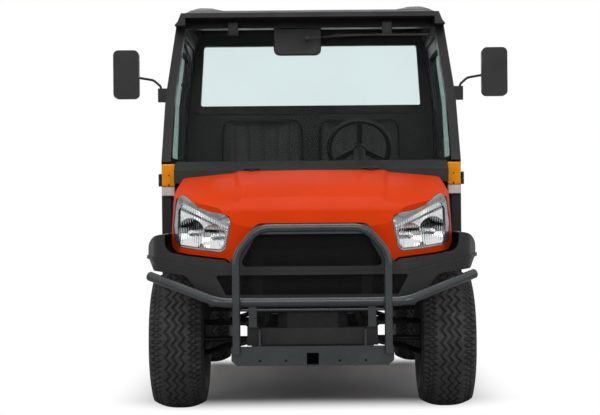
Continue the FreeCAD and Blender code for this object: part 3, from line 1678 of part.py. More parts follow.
# Cargo bed
def bed_section():
    """The bed from behind: a floor, two upright walls and a rail turned out along their tops."""
    top = dim.bed_top
    inside = dim.bed_body_half - dim.bed_wall
    return symmetric([
        (0, dim.bed_floor),
        (inside, dim.bed_floor, 20),
        (inside, top, 8),
        (dim.bed_half, top, 12),
        (dim.bed_half, top - 45, 12),
        (dim.bed_body_half, top - 60),
        (dim.bed_body_half, bed_low, 20),
        (0, bed_low),
    ])


gate_axis = (behind(dim.rear_overhang) - dim.gate_wall / 2, dim.bed_floor - 12)


def cargo_bed():
    """The tipping bed with its front wall, floor beams, pivot ears and lift bracket."""
    front = bed_front
    rear = behind(dim.rear_overhang)
    inside = dim.bed_body_half - dim.bed_wall
    low = bed_low
    tray = prism("bed_tray", "XZ", front, rear - dim.gate_wall - 6, bed_section())
    wall = slab("bed_front_wall", (-inside, inside), (front, front + dim.bed_wall), (dim.bed_floor - 5,
                dim.bed_top))
    beam = slab("bed_floor_beam", (bed_beam_x, bed_beam_x + dim.bed_beam_width), (front + 10, rear - 60),
                (bed_beam_low, low))
    ear_loop = [
        (behind(dim.bed_pivot_y - 60), bed_beam_low),
        (behind(dim.bed_pivot_y - 22), dim.bed_pivot_z - 22, 20),
        (behind(dim.bed_pivot_y + 22), dim.bed_pivot_z - 22, 20),
        (behind(dim.bed_pivot_y + 60), bed_beam_low),
    ]
    ear = prism("bed_ear", "YZ", bed_beam_x, bed_beam_x + 20, ear_loop,
                [(behind(dim.bed_pivot_y), dim.bed_pivot_z, "circle", dim.pivot_pin + dim.running_gap)])
    lift_loop = [
        (behind(-dim.lift_eye_y - 50), low),
        (behind(-dim.lift_eye_y - 50), bed_beam_low),
        (behind(-dim.lift_eye_y - 18), dim.lift_eye_z - 5, 12),
        (behind(-dim.lift_eye_y + 18), dim.lift_eye_z - 5, 12),
        (behind(-dim.lift_eye_y + 50), bed_beam_low),
        (behind(-dim.lift_eye_y + 50), low),
    ]
    cheeks = [prism(f"lift_cheek_{side + 1}", "YZ", -dim.lift_x + side * 24 - 4, -dim.lift_x + side * 24 + 4,
                    lift_loop) for side in (1, -1)]
    y, z = gate_axis
    lug = fuse("gate_lug", rod("gate_lug_barrel", "X", (500, y, z), 30, 9),
               slab("gate_lug_plate", (500, 530), (rear - dim.gate_wall - 8, y), (z - 9, z + 9)),
               rod("gate_pin", "X", (500, y, z), 62, 5))
    return fuse("cargo_bed", tray, wall, beam, mirror("bed_beam_twin", beam), ear,
                mirror("bed_ear_twin", ear), *cheeks, lug, mirror("gate_lug_twin", lug))


node("cargo_bed", cargo_bed())


def tailgate():
    """The gate that closes the bed, hinged along the floor's rear edge."""
    rear = behind(dim.rear_overhang)
    inside = dim.bed_body_half
    panel = slab("gate_panel", (-inside, inside), (rear - dim.gate_wall, rear),
                 (dim.bed_floor + 6, dim.bed_top))
    y, z = gate_axis
    knuckle_ring = fuse("gate_knuckle", rod("gate_barrel", "X", (531, y, z), 30, 9),
                        slab("gate_leaf", (531, 561), (y - 9, y + 9), (z, dim.bed_floor + 7)))
    hole = rod("gate_pin_hole", "X", (525, y, z), 45, 5 + dim.running_gap)
    return cut("tailgate", fuse("gate_body", panel, knuckle_ring, mirror("gate_knuckle_twin", knuckle_ring)),
               hole, mirror("gate_pin_hole_twin", hole))


node("tailgate", tailgate())


# Lift cylinder
lift_base = bed_front + dim.lift_base_back


def lift_points():
    """The two eyes of the cylinder with the bed down."""
    base = Vector(-float(dim.lift_x), float(lift_base), float(dim.lift_base_z))
    eye = Vector(-float(dim.lift_x), float(behind(-dim.lift_eye_y)), float(dim.lift_eye_z))
    return base, eye


def lift_cylinder():
    """A barrel on a pin beside the left rail, and the rod that pushes the bed's bracket."""
    base, eye = lift_points()
    along = (eye - base).normalize()
    span = (eye - base).Length
    barrel_end = base + along * (span - 75)
    tube = bar_between("barrel_tube", tuple(base + along * 36), tuple(barrel_end), dim.barrel_radius)
    neck = bar_between("barrel_neck", tuple(base), tuple(base + along * 40), 15)
    eye_ring = rod("barrel_eye", "X", (-dim.lift_x - 16, lift_base, dim.lift_base_z), 32, 24)
    hole = rod("barrel_pin_hole", "X", (-dim.lift_x - 20, lift_base, dim.lift_base_z), 40,
               10 + dim.running_gap)
    bore = bar_between("barrel_bore", tuple(base + along * 60), tuple(barrel_end + along * 2),
                       dim.rod_radius + dim.running_gap)
    node("lift_barrel", cut("lift_barrel", fuse("barrel_solid", tube, neck, eye_ring), hole, bore))
    piston = bar_between("piston_rod", tuple(base + along * 70), tuple(eye), dim.rod_radius)
    rod_eye = rod("rod_eye", "X", (-dim.lift_x - 16, behind(-dim.lift_eye_y), dim.lift_eye_z), 32, 20)
    node("lift_rod", fuse("lift_rod", piston, rod_eye))
    cheek = slab("lift_foot", (-dim.lift_x - 26, -dim.rail_outer),
                 (lift_base - 20, lift_base + 20),
                 (dim.lift_base_z - 22, dim.lift_base_z + 20))
    room = slab("lift_foot_room", (-dim.lift_x - 17, -dim.lift_x + 17),
                (lift_base - 60, lift_base + 60),
                (dim.lift_base_z - 60, dim.lift_base_z + 60))
    pin = rod("lift_foot_pin", "X", (-dim.lift_x - 26, lift_base, dim.lift_base_z), 50, 10)
    node("lift_foot", fuse("lift_foot", cut("lift_cheeks", cheek, room), pin))


lift_cylinder()


# Rear end
def rear_bumper():
    """A cross tube behind the rails with a square receiver and two tail lamps' brackets."""
    rear = behind(dim.rear_overhang)
    bar = slab("bumper_bar", (-520, 520), (rear - 60, rear), (dim.rail_bottom + 10, rail_top - 10))
    stub = slab("bumper_stub", (rail_inner + 4, dim.rail_outer - 4), (behind(dim.rail_rear), rear - 60),
                (dim.rail_bottom + 10, rail_top - 10))
    return fuse("rear_bumper", bar, stub, mirror("bumper_stub_twin", stub))


node("rear_bumper", rear_bumper())
tail_lamp = prism("tail_lamp", "XZ", behind(dim.rear_overhang) - 45, behind(dim.rear_overhang) - 8,
                  [(420, rail_top - 10 + dim.running_gap), (510, rail_top - 10 + dim.running_gap),
                   (510, rail_top + 55, 12), (420, rail_top + 55, 12)])
node("tail_lamps", both("tail_lamps", tail_lamp))

doc.recompute()
faults = []
for thing in doc.Objects:
    if "Invalid" in thing.State or "Error" in thing.State:
        faults.append(f"{thing.Label}: {thing.State}")
for label, thing in NODES.items():
    shape = thing.Shape
    if shape.isNull() or not shape.isValid() or not shape.Solids:
        faults.append(f"{label}: no valid solid")
if faults:
    raise RuntimeError("; ".join(faults))
if len(NODES) > 60:
    raise RuntimeError("too many sub-parts")

for label, thing in NODES.items():
    thing.Shape.exportStep(f"parts/{label}.step")
    box = thing.Shape.BoundBox
    print(f"{label:22s} solids {len(thing.Shape.Solids):2d}  x {box.XMin:8.1f} {box.XMax:8.1f}"
          f"  y {box.YMin:8.1f} {box.YMax:8.1f}  z {box.ZMin:8.1f} {box.ZMax:8.1f}")
print(len(NODES), "sub-parts")
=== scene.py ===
# %% [markdown]
# # A side by side utility vehicle
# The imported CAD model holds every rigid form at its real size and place. This lesson dresses it: each
# visible surface gets a finish made of shader nodes, and the pieces that CAD leaves plain, such as tyre
# tread, padded seats, springs and bolts, are worked out here as surfaces with numpy.
# Lengths are metres, the nose points towards -Y, +Z is up and the driver sits on the +X side.

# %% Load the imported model
import math

import bmesh
import bpy
import numpy as np
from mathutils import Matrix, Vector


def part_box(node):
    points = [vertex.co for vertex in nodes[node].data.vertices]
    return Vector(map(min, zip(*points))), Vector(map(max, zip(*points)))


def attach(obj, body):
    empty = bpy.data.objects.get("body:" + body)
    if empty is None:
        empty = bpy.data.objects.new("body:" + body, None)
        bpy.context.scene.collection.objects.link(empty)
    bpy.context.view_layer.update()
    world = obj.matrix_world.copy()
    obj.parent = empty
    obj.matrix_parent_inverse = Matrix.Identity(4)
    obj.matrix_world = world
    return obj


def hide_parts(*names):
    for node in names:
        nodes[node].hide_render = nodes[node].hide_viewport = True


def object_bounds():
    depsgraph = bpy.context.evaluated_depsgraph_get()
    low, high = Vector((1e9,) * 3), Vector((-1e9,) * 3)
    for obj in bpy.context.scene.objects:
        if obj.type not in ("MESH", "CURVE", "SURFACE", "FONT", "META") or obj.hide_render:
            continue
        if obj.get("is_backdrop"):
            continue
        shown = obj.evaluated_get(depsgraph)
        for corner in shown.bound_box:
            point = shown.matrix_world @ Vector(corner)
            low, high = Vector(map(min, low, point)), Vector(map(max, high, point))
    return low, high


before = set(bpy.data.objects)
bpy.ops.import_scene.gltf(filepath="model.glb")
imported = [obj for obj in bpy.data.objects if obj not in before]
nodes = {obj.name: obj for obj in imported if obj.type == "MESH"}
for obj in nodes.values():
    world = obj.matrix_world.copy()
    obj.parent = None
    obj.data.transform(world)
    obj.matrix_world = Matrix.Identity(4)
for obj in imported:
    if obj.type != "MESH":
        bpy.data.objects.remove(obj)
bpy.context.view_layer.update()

# %% [markdown]
# A workshop drawing measures places along a vehicle from its axles. Here stand the places of both axles,
# the height of the hubs and the middle of the tyres, and one small function that turns a distance behind
# the front axle into a place.

# %% Reference places
FRONT_AXLE = -0.9375
REAR_AXLE = 1.1075
HUB_HEIGHT = 0.3175
TYRE_X = 0.6175
SIDES = (1, -1)


def behind_front(distance):
    """The y of a place that lies a distance behind the front axle."""
    return FRONT_AXLE + distance


print("wheelbase:", REAR_AXLE - FRONT_AXLE)

# %% [markdown]
# ## The camera
# The photograph was taken from straight ahead with a long lens, about seven metres away and at hood
# height. The focal length, distance and height below make the wheels, lamps and cab corners of the model
# fall where the photograph has them. A small shift moves the vehicle off the middle of the frame, as there.

# %% Camera
CAMERA_DISTANCE = 6.9
CAMERA_HEIGHT = 0.93
CAMERA_ROLL = 0.5
camera_data = bpy.data.cameras.new("photo_camera")
camera_data.sensor_width = 36.0
camera_data.lens = 88.3
camera_data.shift_x = -0.0192
camera = bpy.data.objects.new("photo_camera", camera_data)
camera.location = (0.0, FRONT_AXLE - CAMERA_DISTANCE, CAMERA_HEIGHT)
camera.rotation_euler = (math.radians(90.0), math.radians(CAMERA_ROLL), 0.0)
bpy.context.scene.collection.objects.link(camera)
bpy.context.scene.camera = camera
print("camera at", list(camera.location))

# %% [markdown]
# ## Studio
# The vehicle stands on a pale floor under five soft lamps: one over it, one ahead, one on each side a
# little ahead, and one behind. The world fills the shadows. The camera, gloss and glass see a white world,
# so the paint and the panes meet a bright studio.

# %% Floor, world and lights
scene = bpy.context.scene
scene.view_settings.view_transform = "Standard"


def combined(tree, operation, first, second):
    """The result of a math node that reads two other outputs."""
    step = tree.nodes.new("ShaderNodeMath")
    step.operation = operation
    tree.links.new(first, step.inputs[0])
    tree.links.new(second, step.inputs[1])
    return step.outputs[0]


def world_light(fill):
    """A white world that is as bright as white paper to the camera, in glass and in gloss, and dimmer as
    a lamp."""
    world = bpy.data.worlds.new("studio")
    world.use_nodes = True
    tree = world.node_tree
    tree.nodes.clear()
    path = tree.nodes.new("ShaderNodeLightPath")
    bounced = combined(tree, "MAXIMUM", path.outputs["Is Glossy Ray"], path.outputs["Is Transmission Ray"])
    seen = combined(tree, "MAXIMUM", path.outputs["Is Camera Ray"], bounced)
    strength = tree.nodes.new("ShaderNodeMapRange")
    strength.inputs["To Min"].default_value = fill
    strength.inputs["To Max"].default_value = 1.0
    tree.links.new(seen, strength.inputs["Value"])
    background = tree.nodes.new("ShaderNodeBackground")
    background.inputs["Color"].default_value = (1.0, 1.0, 1.0, 1.0)
    tree.links.new(strength.outputs["Result"], background.inputs["Strength"])
    output = tree.nodes.new("ShaderNodeOutputWorld")
    tree.links.new(background.outputs[0], output.inputs["Surface"])
    scene.world = world


FLOOR_GREY = 0.58
SHADOW_MIDDLE = (0.0, 0.10, 0.0)
SHADOW_HALF = (0.52, 0.72, 1.0)
SHADOW_FADE = 0.52


def studio_floor(half):
    """A square of pale floor that keeps the shadow under the vehicle and, for the camera, fades to white
    with the distance from a rectangle there, so that no horizon shows."""
    mesh = bpy.data.meshes.new("studio_floor")
    corners = [(-half, -half, 0), (half, -half, 0), (half, half, 0), (-half, half, 0)]
    mesh.from_pydata(corners, [], [(0, 1, 2, 3)])
    floor = bpy.data.objects.new("studio_floor", mesh)
    scene.collection.objects.link(floor)
    material = bpy.data.materials.new("floor_paper")
    material.use_nodes = True
    tree = material.node_tree
    shader = tree.nodes["Principled BSDF"]
    shader.inputs["Base Color"].default_value = (FLOOR_GREY, FLOOR_GREY, FLOOR_GREY, 1.0)
    shader.inputs["Roughness"].default_value = 0.9
    shader.inputs["Specular IOR Level"].default_value = 0.1
    path = tree.nodes.new("ShaderNodeLightPath")
    seen = combined(tree, "MAXIMUM", path.outputs["Is Camera Ray"], path.outputs["Is Transmission Ray"])
    place = tree.nodes.new("ShaderNodeTexCoord")
    reach = place.outputs["Object"]
    for operation, value in (("SUBTRACT", SHADOW_MIDDLE), ("ABSOLUTE", (0, 0, 0)), ("SUBTRACT", SHADOW_HALF),
                             ("MAXIMUM", (0, 0, 0)), ("LENGTH", (0, 0, 0))):
        step = tree.nodes.new("ShaderNodeVectorMath")
        step.operation = operation
        step.inputs[1].default_value = value
        tree.links.new(reach, step.inputs[0])
        reach = step.outputs["Value" if operation == "LENGTH" else "Vector"]
    fade = tree.nodes.new("ShaderNodeMapRange")
    fade.interpolation_type = "SMOOTHSTEP"
    fade.inputs["From Min"].default_value = 0.0
    fade.inputs["From Max"].default_value = SHADOW_FADE
    fade.inputs["To Min"].default_value = 0.0
    fade.inputs["To Max"].default_value = 1.0
    tree.links.new(reach, fade.inputs["Value"])
    share = combined(tree, "MULTIPLY", fade.outputs["Result"], seen)
    white = tree.nodes.new("ShaderNodeEmission")
    white.inputs["Color"].default_value = (1.0, 1.0, 1.0, 1.0)
    white.inputs["Strength"].default_value = 1.0
    blend = tree.nodes.new("ShaderNodeMixShader")
    tree.links.new(share, blend.inputs["Fac"])
    tree.links.new(shader.outputs["BSDF"], blend.inputs[1])
    tree.links.new(white.outputs[0], blend.inputs[2])
    tree.links.new(blend.outputs[0], tree.nodes["Material Output"].inputs["Surface"])
    mesh.materials.append(material)
    floor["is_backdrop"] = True


def soft_panel(name, place, aim, width, height, watts):
    """A rectangular lamp at a place that faces a point."""
    data = bpy.data.lights.new(name, "AREA")
    data.shape = "RECTANGLE"
    data.size = width
    data.size_y = height
    data.energy = watts
    lamp = bpy.data.objects.new(name, data)
    lamp.location = place
    way = np.array(aim, float) - np.array(place, float)
    way /= np.linalg.norm(way)
    pitch = math.acos(-way[2])
    turn = math.atan2(-way[0], way[1]) if abs(way[2]) < 0.999 else 0.0
    lamp.rotation_euler = (pitch, 0.0, turn)
    lamp.visible_camera = False
    lamp.visible_transmission = False
    scene.collection.objects.link(lamp)


world_light(fill=0.40)
studio_floor(half=60.0)
soft_panel("top_panel", (0.0, -0.3, 4.8), (0.0, -0.1, 0.0), 3.0, 5.0, 95)
soft_panel("front_panel_light", (0.0, -7.0, 4.2), (0.0, -0.9, 0.9), 4.5, 2.2, 105)
soft_panel("left_panel", (-4.4, -5.4, 2.2), (0.0, -0.8, 0.8), 1.8, 2.6, 42)
soft_panel("right_panel", (4.4, -5.4, 2.2), (0.0, -0.8, 0.8), 1.8, 2.6, 42)
soft_panel("back_panel", (0.0, 5.6, 3.0), (0.0, 0.8, 1.0), 4.0, 2.0, 90)

# %% [markdown]
# ## Making a mesh from arrays
# Nearly every new piece is a surface with two parameters: a grid of points with rows and columns. One
# function turns such a grid into faces. Another puts points and faces into a mesh, and gives the piece its
# body and its finish. The points are whole arrays, never a loop over vertices.

# %% Mesh helpers
def grid_faces(rows, columns, round_rows=False, round_columns=False):
    """Quads between neighbouring rows and columns of a grid; a round direction also joins last to first."""
    last_row = rows if round_rows else rows - 1
    last_column = columns if round_columns else columns - 1
    row, column = np.meshgrid(np.arange(last_row), np.arange(last_column), indexing="ij")
    next_row = (row + 1) % rows
    next_column = (column + 1) % columns
    quads = [row * columns + column, next_row * columns + column,
             next_row * columns + next_column, row * columns + next_column]
    return np.stack(quads, axis=-1).reshape(-1, 4)


def capped_grid(rows, columns):
    """The faces of a grid whose columns run round, with one face over each open end."""
    ends = [tuple(range(columns)), tuple(range((rows - 1) * columns, rows * columns))]
    return grid_faces(rows, columns, round_columns=True).tolist() + ends


def make_piece(name, points, faces, body, slot, finish, smooth=True, outward=True):
    """A mesh object of these points and faces that rides on a body and takes a finish; the slot is not used.
    """
    mesh = bpy.data.meshes.new(name)
    corners = faces.tolist() if isinstance(faces, np.ndarray) else faces
    mesh.from_pydata(np.asarray(points, float).reshape(-1, 3).tolist(), [], corners)
    mesh.materials.append(finish)
    mesh.polygons.foreach_set("use_smooth", np.full(len(mesh.polygons), smooth))
    mesh.update()
    piece = bpy.data.objects.new(name, mesh)
    scene.collection.objects.link(piece)
    if outward:
        face_outward(piece)
    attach(piece, body)
    return piece


def face_outward(piece):
    """Turns every face of a closed mesh so that its normal points out."""
    sheet = bmesh.new()
    sheet.from_mesh(piece.data)
    bmesh.ops.recalc_face_normals(sheet, faces=sheet.faces)
    sheet.to_mesh(piece.data)
    sheet.free()


def sharpen(piece, angle=35.0):
    """Keeps smooth shading on curved faces and crisp edges where faces meet at more than the angle."""
    piece.data.set_sharp_from_angle(angle=math.radians(angle))
    return piece


print("mesh helpers are ready")

# %% [markdown]
# Bolts and nuts repeat. A small base mesh is worked out once, and broadcasting adds every place to every
# point of it, so all the bolts of a kind are one array.

# %% Repeating a small mesh
def turned_to(direction):
    """A turning matrix whose third column is the direction, and whose other two are square to it."""
    third = np.array(direction, float)
    third /= np.linalg.norm(third)
    helper = np.array((0.0, 0.0, 1.0)) if abs(third[2]) < 0.9 else np.array((1.0, 0.0, 0.0))
    first = np.cross(helper, third)
    first /= np.linalg.norm(first)
    return np.stack([first, np.cross(third, first), third], axis=1)


def repeated(points, faces, places, matrices):
    """Copies of a base mesh: each point is turned by its copy's matrix and moved to its copy's place."""
    points = np.asarray(points, float)
    moved = np.einsum("nij,kj->nki", np.asarray(matrices), points) + np.asarray(places, float)[:, None, :]
    step = np.arange(len(places)) * len(points)
    every = [tuple(np.array(face) + shift) for shift in step for face in faces]
    return moved.reshape(-1, 3), every


def bolt_base(radius, height, count=24):
    """A bolt head on a round washer: rings of points whose radius is hexagonal above and round below."""
    turns = np.arange(count) / count * 2 * np.pi
    flat = np.pi / 6
    hexagon = np.cos(flat) / np.cos((turns % (2 * flat)) - flat)
    washer = np.full(count, 1.45)
    rings = [(washer, 0.0), (washer, 0.22), (hexagon, 0.22), (hexagon, 0.9), (hexagon * 0.86, 1.0),
             (hexagon * 0.02, 1.0)]
    points = [np.stack([share * radius * np.cos(turns), share * radius * np.sin(turns),
                        np.full(count, rise * height)], axis=1) for share, rise in rings]
    return np.concatenate(points), grid_faces(len(rings), count, round_columns=True).tolist()


def bolts(name, places, direction, radius, height, body, slot, finish):
    """Bolt heads of one size at several places that all point one way."""
    points, faces = bolt_base(radius, height)
    matrices = np.repeat(turned_to(direction)[None], len(places), axis=0)
    every, all_faces = repeated(points, faces, places, matrices)
    return sharpen(make_piece(name, every, all_faces, body, slot, finish, outward=False), 30)


print("a bolt head has", len(bolt_base(1, 1)[1]), "faces")

# %% [markdown]
# Springs, handles and the wiper's arm and blade are a round or flat section carried along a path. Each
# section stands square to the path there.

# %% Sections along a path
def smooth_path(points, steps=8):
    """Points on a Catmull-Rom curve: between two given points the curve blends cubically, with the
    neighbours' difference as its direction at each end."""
    points = np.asarray(points, float)
    longer = np.concatenate([2 * points[:1] - points[1:2], points, 2 * points[-1:] - points[-2:-1]])
    parts = (longer[:-3], longer[1:-2], longer[2:-1], longer[3:])
    before, start, stop, after = (part[:, None, :] for part in parts)
    share = (np.arange(steps) / steps)[None, :, None]
    curve = 0.5 * (2 * start + (stop - before) * share
                   + (2 * before - 5 * start + 4 * stop - after) * share ** 2
                   + (3 * start - before - 3 * stop + after) * share ** 3)
    return np.concatenate([curve.reshape(-1, 3), points[-1:]])


def swept(path, section, up=(0.0, 0.0, 1.0)):
    """A section carried along a path: each of its points goes sideways and upwards from the path, where
    sideways is the path's direction crossed with up."""
    path = np.asarray(path, float)
    along = np.gradient(path, axis=0)
    along /= np.linalg.norm(along, axis=1, keepdims=True)
    side = np.cross(along, np.asarray(up, float))
    side /= np.linalg.norm(side, axis=1, keepdims=True)
    rise = np.cross(side, along)
    across, upwards = np.asarray(section, float).T[:, None, :, None]
    points = path[:, None, :] + side[:, None, :] * across + rise[:, None, :] * upwards
    return points.reshape(-1, 3), capped_grid(len(path), len(section))


def ring_section(radius, sides=14):
    """Points of a circle for a tube's section."""
    turns = np.arange(sides) / sides * 2 * np.pi
    return np.stack([radius * np.cos(turns), radius * np.sin(turns)], axis=1)


def flat_section(width, height, power=0.3):
    """A rounded rectangle: a circle's points pushed outwards to the corners by a power law."""
    turns = (np.arange(20) + 0.5) / 20 * 2 * np.pi
    x = np.sign(np.cos(turns)) * np.abs(np.cos(turns)) ** power
    y = np.sign(np.sin(turns)) * np.abs(np.sin(turns)) ** power
    return np.stack([x * width / 2, y * height / 2], axis=1)


def tube(name, points, radius, body, slot, finish):
    """A round tube along a smooth path through the points."""
    return make_piece(name, *swept(smooth_path(points), ring_section(radius)), body, slot, finish)


def joined(meshes):
    """Several meshes as one list of points and one of faces."""
    points = []
    faces = []
    count = 0
    for part_points, part_faces in meshes:
        points.append(np.asarray(part_points, float).reshape(-1, 3))
        faces += [tuple(int(index) + count for index in face) for face in part_faces]
        count += len(points[-1])
    return np.concatenate(points), faces


def mirrored(mesh):
    """The same mesh on the other side of the vehicle: x changes sign and each face turns round."""
    points, faces = mesh
    flipped = np.asarray(points, float).reshape(-1, 3) * (-1.0, 1.0, 1.0)
    return flipped, [tuple(face)[::-1] for face in faces]


def paired(mesh):
    """A mesh and its mirror image as one mesh."""
    return joined([mesh, mirrored(mesh)])


def box_mesh(low, high, soft, steps=3):
    """A box with rounded edges: a cube's grid points are pulled in to the inner box and pushed back out
    by the rounding radius along their own direction."""
    low = np.array(low, float)
    high = np.array(high, float)
    soft = min(soft, float((high - low).min()) / 2.001)
    around_edge = np.arange(4 * (steps + 1)) // (steps + 1)
    local = np.arange(4 * (steps + 1)) % (steps + 1) / steps * np.pi / 2 + around_edge * np.pi / 2
    tilt = np.concatenate([np.linspace(-np.pi / 2, 0, steps + 1), np.linspace(0, np.pi / 2, steps + 1)])
    level = np.repeat([0, 1], steps + 1)
    corner_x = np.array([1, 0, 0, 1])[around_edge]
    corner_y = np.array([1, 1, 0, 0])[around_edge]
    inner_low = low + soft
    inner = high - soft - inner_low
    x = inner_low[0] + inner[0] * corner_x[None, :] + soft * np.cos(local)[None, :] * np.cos(tilt)[:, None]
    y = inner_low[1] + inner[1] * corner_y[None, :] + soft * np.sin(local)[None, :] * np.cos(tilt)[:, None]
    z = np.broadcast_to(inner_low[2] + inner[2] * level[:, None] + soft * np.sin(tilt)[:, None], x.shape)
    return np.stack([x, y, z], axis=-1).reshape(-1, 3), capped_grid(*x.shape)


def box_about(centre, half, soft):
    """A box with rounded edges, given by its middle and its half size."""
    centre = np.array(centre, float)
    half = np.array(half, float)
    return box_mesh(centre - half, centre + half, soft)


def rounded_outline(corners, steps=8):
    """Corners of (x, z, radius) as one closed line: each corner becomes a parabola that touches both of its
    sides where a circle of that radius would."""
    corners = np.asarray(corners, float)
    points = corners[:, :2]
    into = points - np.roll(points, 1, axis=0)
    into /= np.linalg.norm(into, axis=1, keepdims=True)
    out = np.roll(into, -1, axis=0)
    turn = np.arccos(np.clip((into * out).sum(axis=1), -1.0, 1.0))
    reach = (corners[:, 2] * np.tan(turn / 2))[:, None, None]
    share = np.linspace(0.0, 1.0, steps)[None, :, None]
    middle = points[:, None, :]
    start = middle - into[:, None, :] * reach
    stop = middle + out[:, None, :] * reach
    curve = start * (1 - share) ** 2 + 2 * middle * share * (1 - share) + stop * share ** 2
    return curve.reshape(-1, 2)


def rectangle(low_x, high_x, low_z, high_z, radius, top_radius=None):
    """An upright rectangle's outline with rounded corners, the upper ones with a radius of their own."""
    upper = radius if top_radius is None else top_radius
    return rounded_outline([(low_x, low_z, radius), (high_x, low_z, radius), (high_x, high_z, upper),
                            (low_x, high_z, upper)])


def plate(outline, front, back, soft):
    """A plate that faces ahead: its outline of (x, z) between two depths, each a number or a function of x
    and z, with both rims drawn in a little so that the edges look soft."""
    outline = np.asarray(outline, float)
    span = outline - outline.mean(axis=0)
    drawn = outline - span / np.linalg.norm(span, axis=1, keepdims=True) * soft

    def ring(flat, depth, shift):
        y = depth(flat[:, 0], flat[:, 1]) if callable(depth) else np.full(len(flat), depth)
        return np.stack([flat[:, 0], y + shift, flat[:, 1]], axis=1)

    rings = [ring(drawn, front, 0.0), ring(outline, front, soft), ring(outline, back, -soft),
             ring(drawn, back, 0.0)]
    return np.concatenate(rings), capped_grid(len(rings), len(outline))


def lathe_mesh(profile, centre, direction, turns=32):
    """A surface of revolution: profile points of (distance along, radius) turned about a direction."""
    profile = np.asarray(profile, float)
    angle = np.arange(turns) / turns * 2 * np.pi
    ring = np.stack([np.cos(angle), np.sin(angle)], axis=1)
    local = np.concatenate([
        profile[:, None, 1:] * ring[None, :, :],
        np.broadcast_to(profile[:, None, :1], (len(profile), turns, 1)),
    ], axis=-1)
    points = np.einsum("ij,abj->abi", turned_to(direction), local) + np.asarray(centre, float)
    return points.reshape(-1, 3), capped_grid(len(profile), turns)


print("a rounded box has", len(box_mesh((0, 0, 0), (1, 1, 1), 0.004)[1]), "faces")

# %% [markdown]
# ## Finishes
# A finish is one principled shader with its constant values set on its own sockets, and textures only for
# what changes over the surface: a slow mottling of the colour, a fine grain as bump, and a roughness that
# drifts a little as dust and handling leave it. All textures read Object coordinates, in metres, so their
# scale is real and they stay on the piece.

# %% Shader helpers
def plain_finish(name, colour, rough, metallic=0.0, specular=0.5):
    """A principled material with constant colour, roughness and metal."""
    material = bpy.data.materials.new(name)
    material.use_nodes = True
    shader = material.node_tree.nodes["Principled BSDF"]
    shader.inputs["Base Color"].default_value = (*colour, 1.0)
    shader.inputs["Roughness"].default_value = rough
    shader.inputs["Metallic"].default_value = metallic
    shader.inputs["Specular IOR Level"].default_value = specular
    return material


def object_place(material, stretch):
    """Object coordinates in metres, stretched along the axes."""
    tree = material.node_tree
    place = tree.nodes.new("ShaderNodeTexCoord")
    mapping = tree.nodes.new("ShaderNodeMapping")
    mapping.inputs["Scale"].default_value = stretch
    tree.links.new(place.outputs["Object"], mapping.inputs["Vector"])
    return mapping.outputs["Vector"]


def noise_value(material, scale, detail=4.0, stretch=(1.0, 1.0, 1.0)):
    """A noise texture on Object coordinates."""
    tree = material.node_tree
    noise = tree.nodes.new("ShaderNodeTexNoise")
    noise.inputs["Scale"].default_value = scale
    noise.inputs["Detail"].default_value = detail
    tree.links.new(object_place(material, stretch), noise.inputs["Vector"])
    return noise.outputs["Fac"]


def cell_value(material, scale):
    """A cell pattern on Object coordinates: the distance to the nearest cell point."""
    tree = material.node_tree
    cells = tree.nodes.new("ShaderNodeTexVoronoi")
    cells.feature = "F1"
    cells.inputs["Scale"].default_value = scale
    tree.links.new(object_place(material, (1.0, 1.0, 1.0)), cells.inputs["Vector"])
    return cells.outputs["Distance"]


def spread(material, value, low, high, start=0.35, stop=0.65):
    """Maps a texture value between start and stop to a number between low and high."""
    tree = material.node_tree
    remap = tree.nodes.new("ShaderNodeMapRange")
    remap.inputs["From Min"].default_value = start
    remap.inputs["From Max"].default_value = stop
    remap.inputs["To Min"].default_value = low
    remap.inputs["To Max"].default_value = high
    tree.links.new(value, remap.inputs["Value"])
    return remap.outputs["Result"]


def mottled(material, dark, light, scale):
    """Lets the base colour drift between two colours with a slow noise."""
    tree = material.node_tree
    value = spread(material, noise_value(material, scale, 5.0), 0.0, 1.0)
    mix = tree.nodes.new("ShaderNodeMix")
    mix.data_type = "RGBA"
    mix.inputs["A"].default_value = (*dark, 1.0)
    mix.inputs["B"].default_value = (*light, 1.0)
    tree.links.new(value, mix.inputs["Factor"])
    tree.links.new(mix.outputs["Result"], tree.nodes["Principled BSDF"].inputs["Base Color"])
    return material


def rough_drift(material, low, high, scale):
    """Lets the roughness drift between two values."""
    value = spread(material, noise_value(material, scale), low, high)
    material.node_tree.links.new(value, material.node_tree.nodes["Principled BSDF"].inputs["Roughness"])
    return material


def grained(material, value, height, strength=0.5):
    """Presses a texture value into the surface as bump of a height in metres."""
    tree = material.node_tree
    bump = tree.nodes.new("ShaderNodeBump")
    bump.inputs["Distance"].default_value = height
    bump.inputs["Strength"].default_value = strength
    tree.links.new(value, bump.inputs["Height"])
    tree.links.new(bump.outputs["Normal"], tree.nodes["Principled BSDF"].inputs["Normal"])
    return material


def dress(finish, *names):
    """Gives a finish to CAD nodes."""
    for name in names:
        materials = nodes[name].data.materials
        materials.clear()
        materials.append(finish)


print("shader helpers are ready")

# %% [markdown]
# The hood and the cargo bed are orange paint with a soft shine: the colour drifts a little, a faint orange
# peel is pressed in as bump, and a very thin clear coat adds a weak reflection.

# %% Orange paint
orange_paint = plain_finish("orange_paint", (0.71, 0.043, 0.002), 0.45, specular=0.03)
mottled(orange_paint, (0.675, 0.043, 0.0018), (0.725, 0.049, 0.0024), 3.0)
grained(orange_paint, noise_value(orange_paint, 220.0, 2.0), 0.0004, 0.10)
orange_shader = orange_paint.node_tree.nodes["Principled BSDF"]
orange_shader.inputs["Coat Weight"].default_value = 0.035
orange_shader.inputs["Coat Roughness"].default_value = 0.06
dress(orange_paint, "hood", "cargo_bed", "tailgate")
print("orange paint on hood and bed")

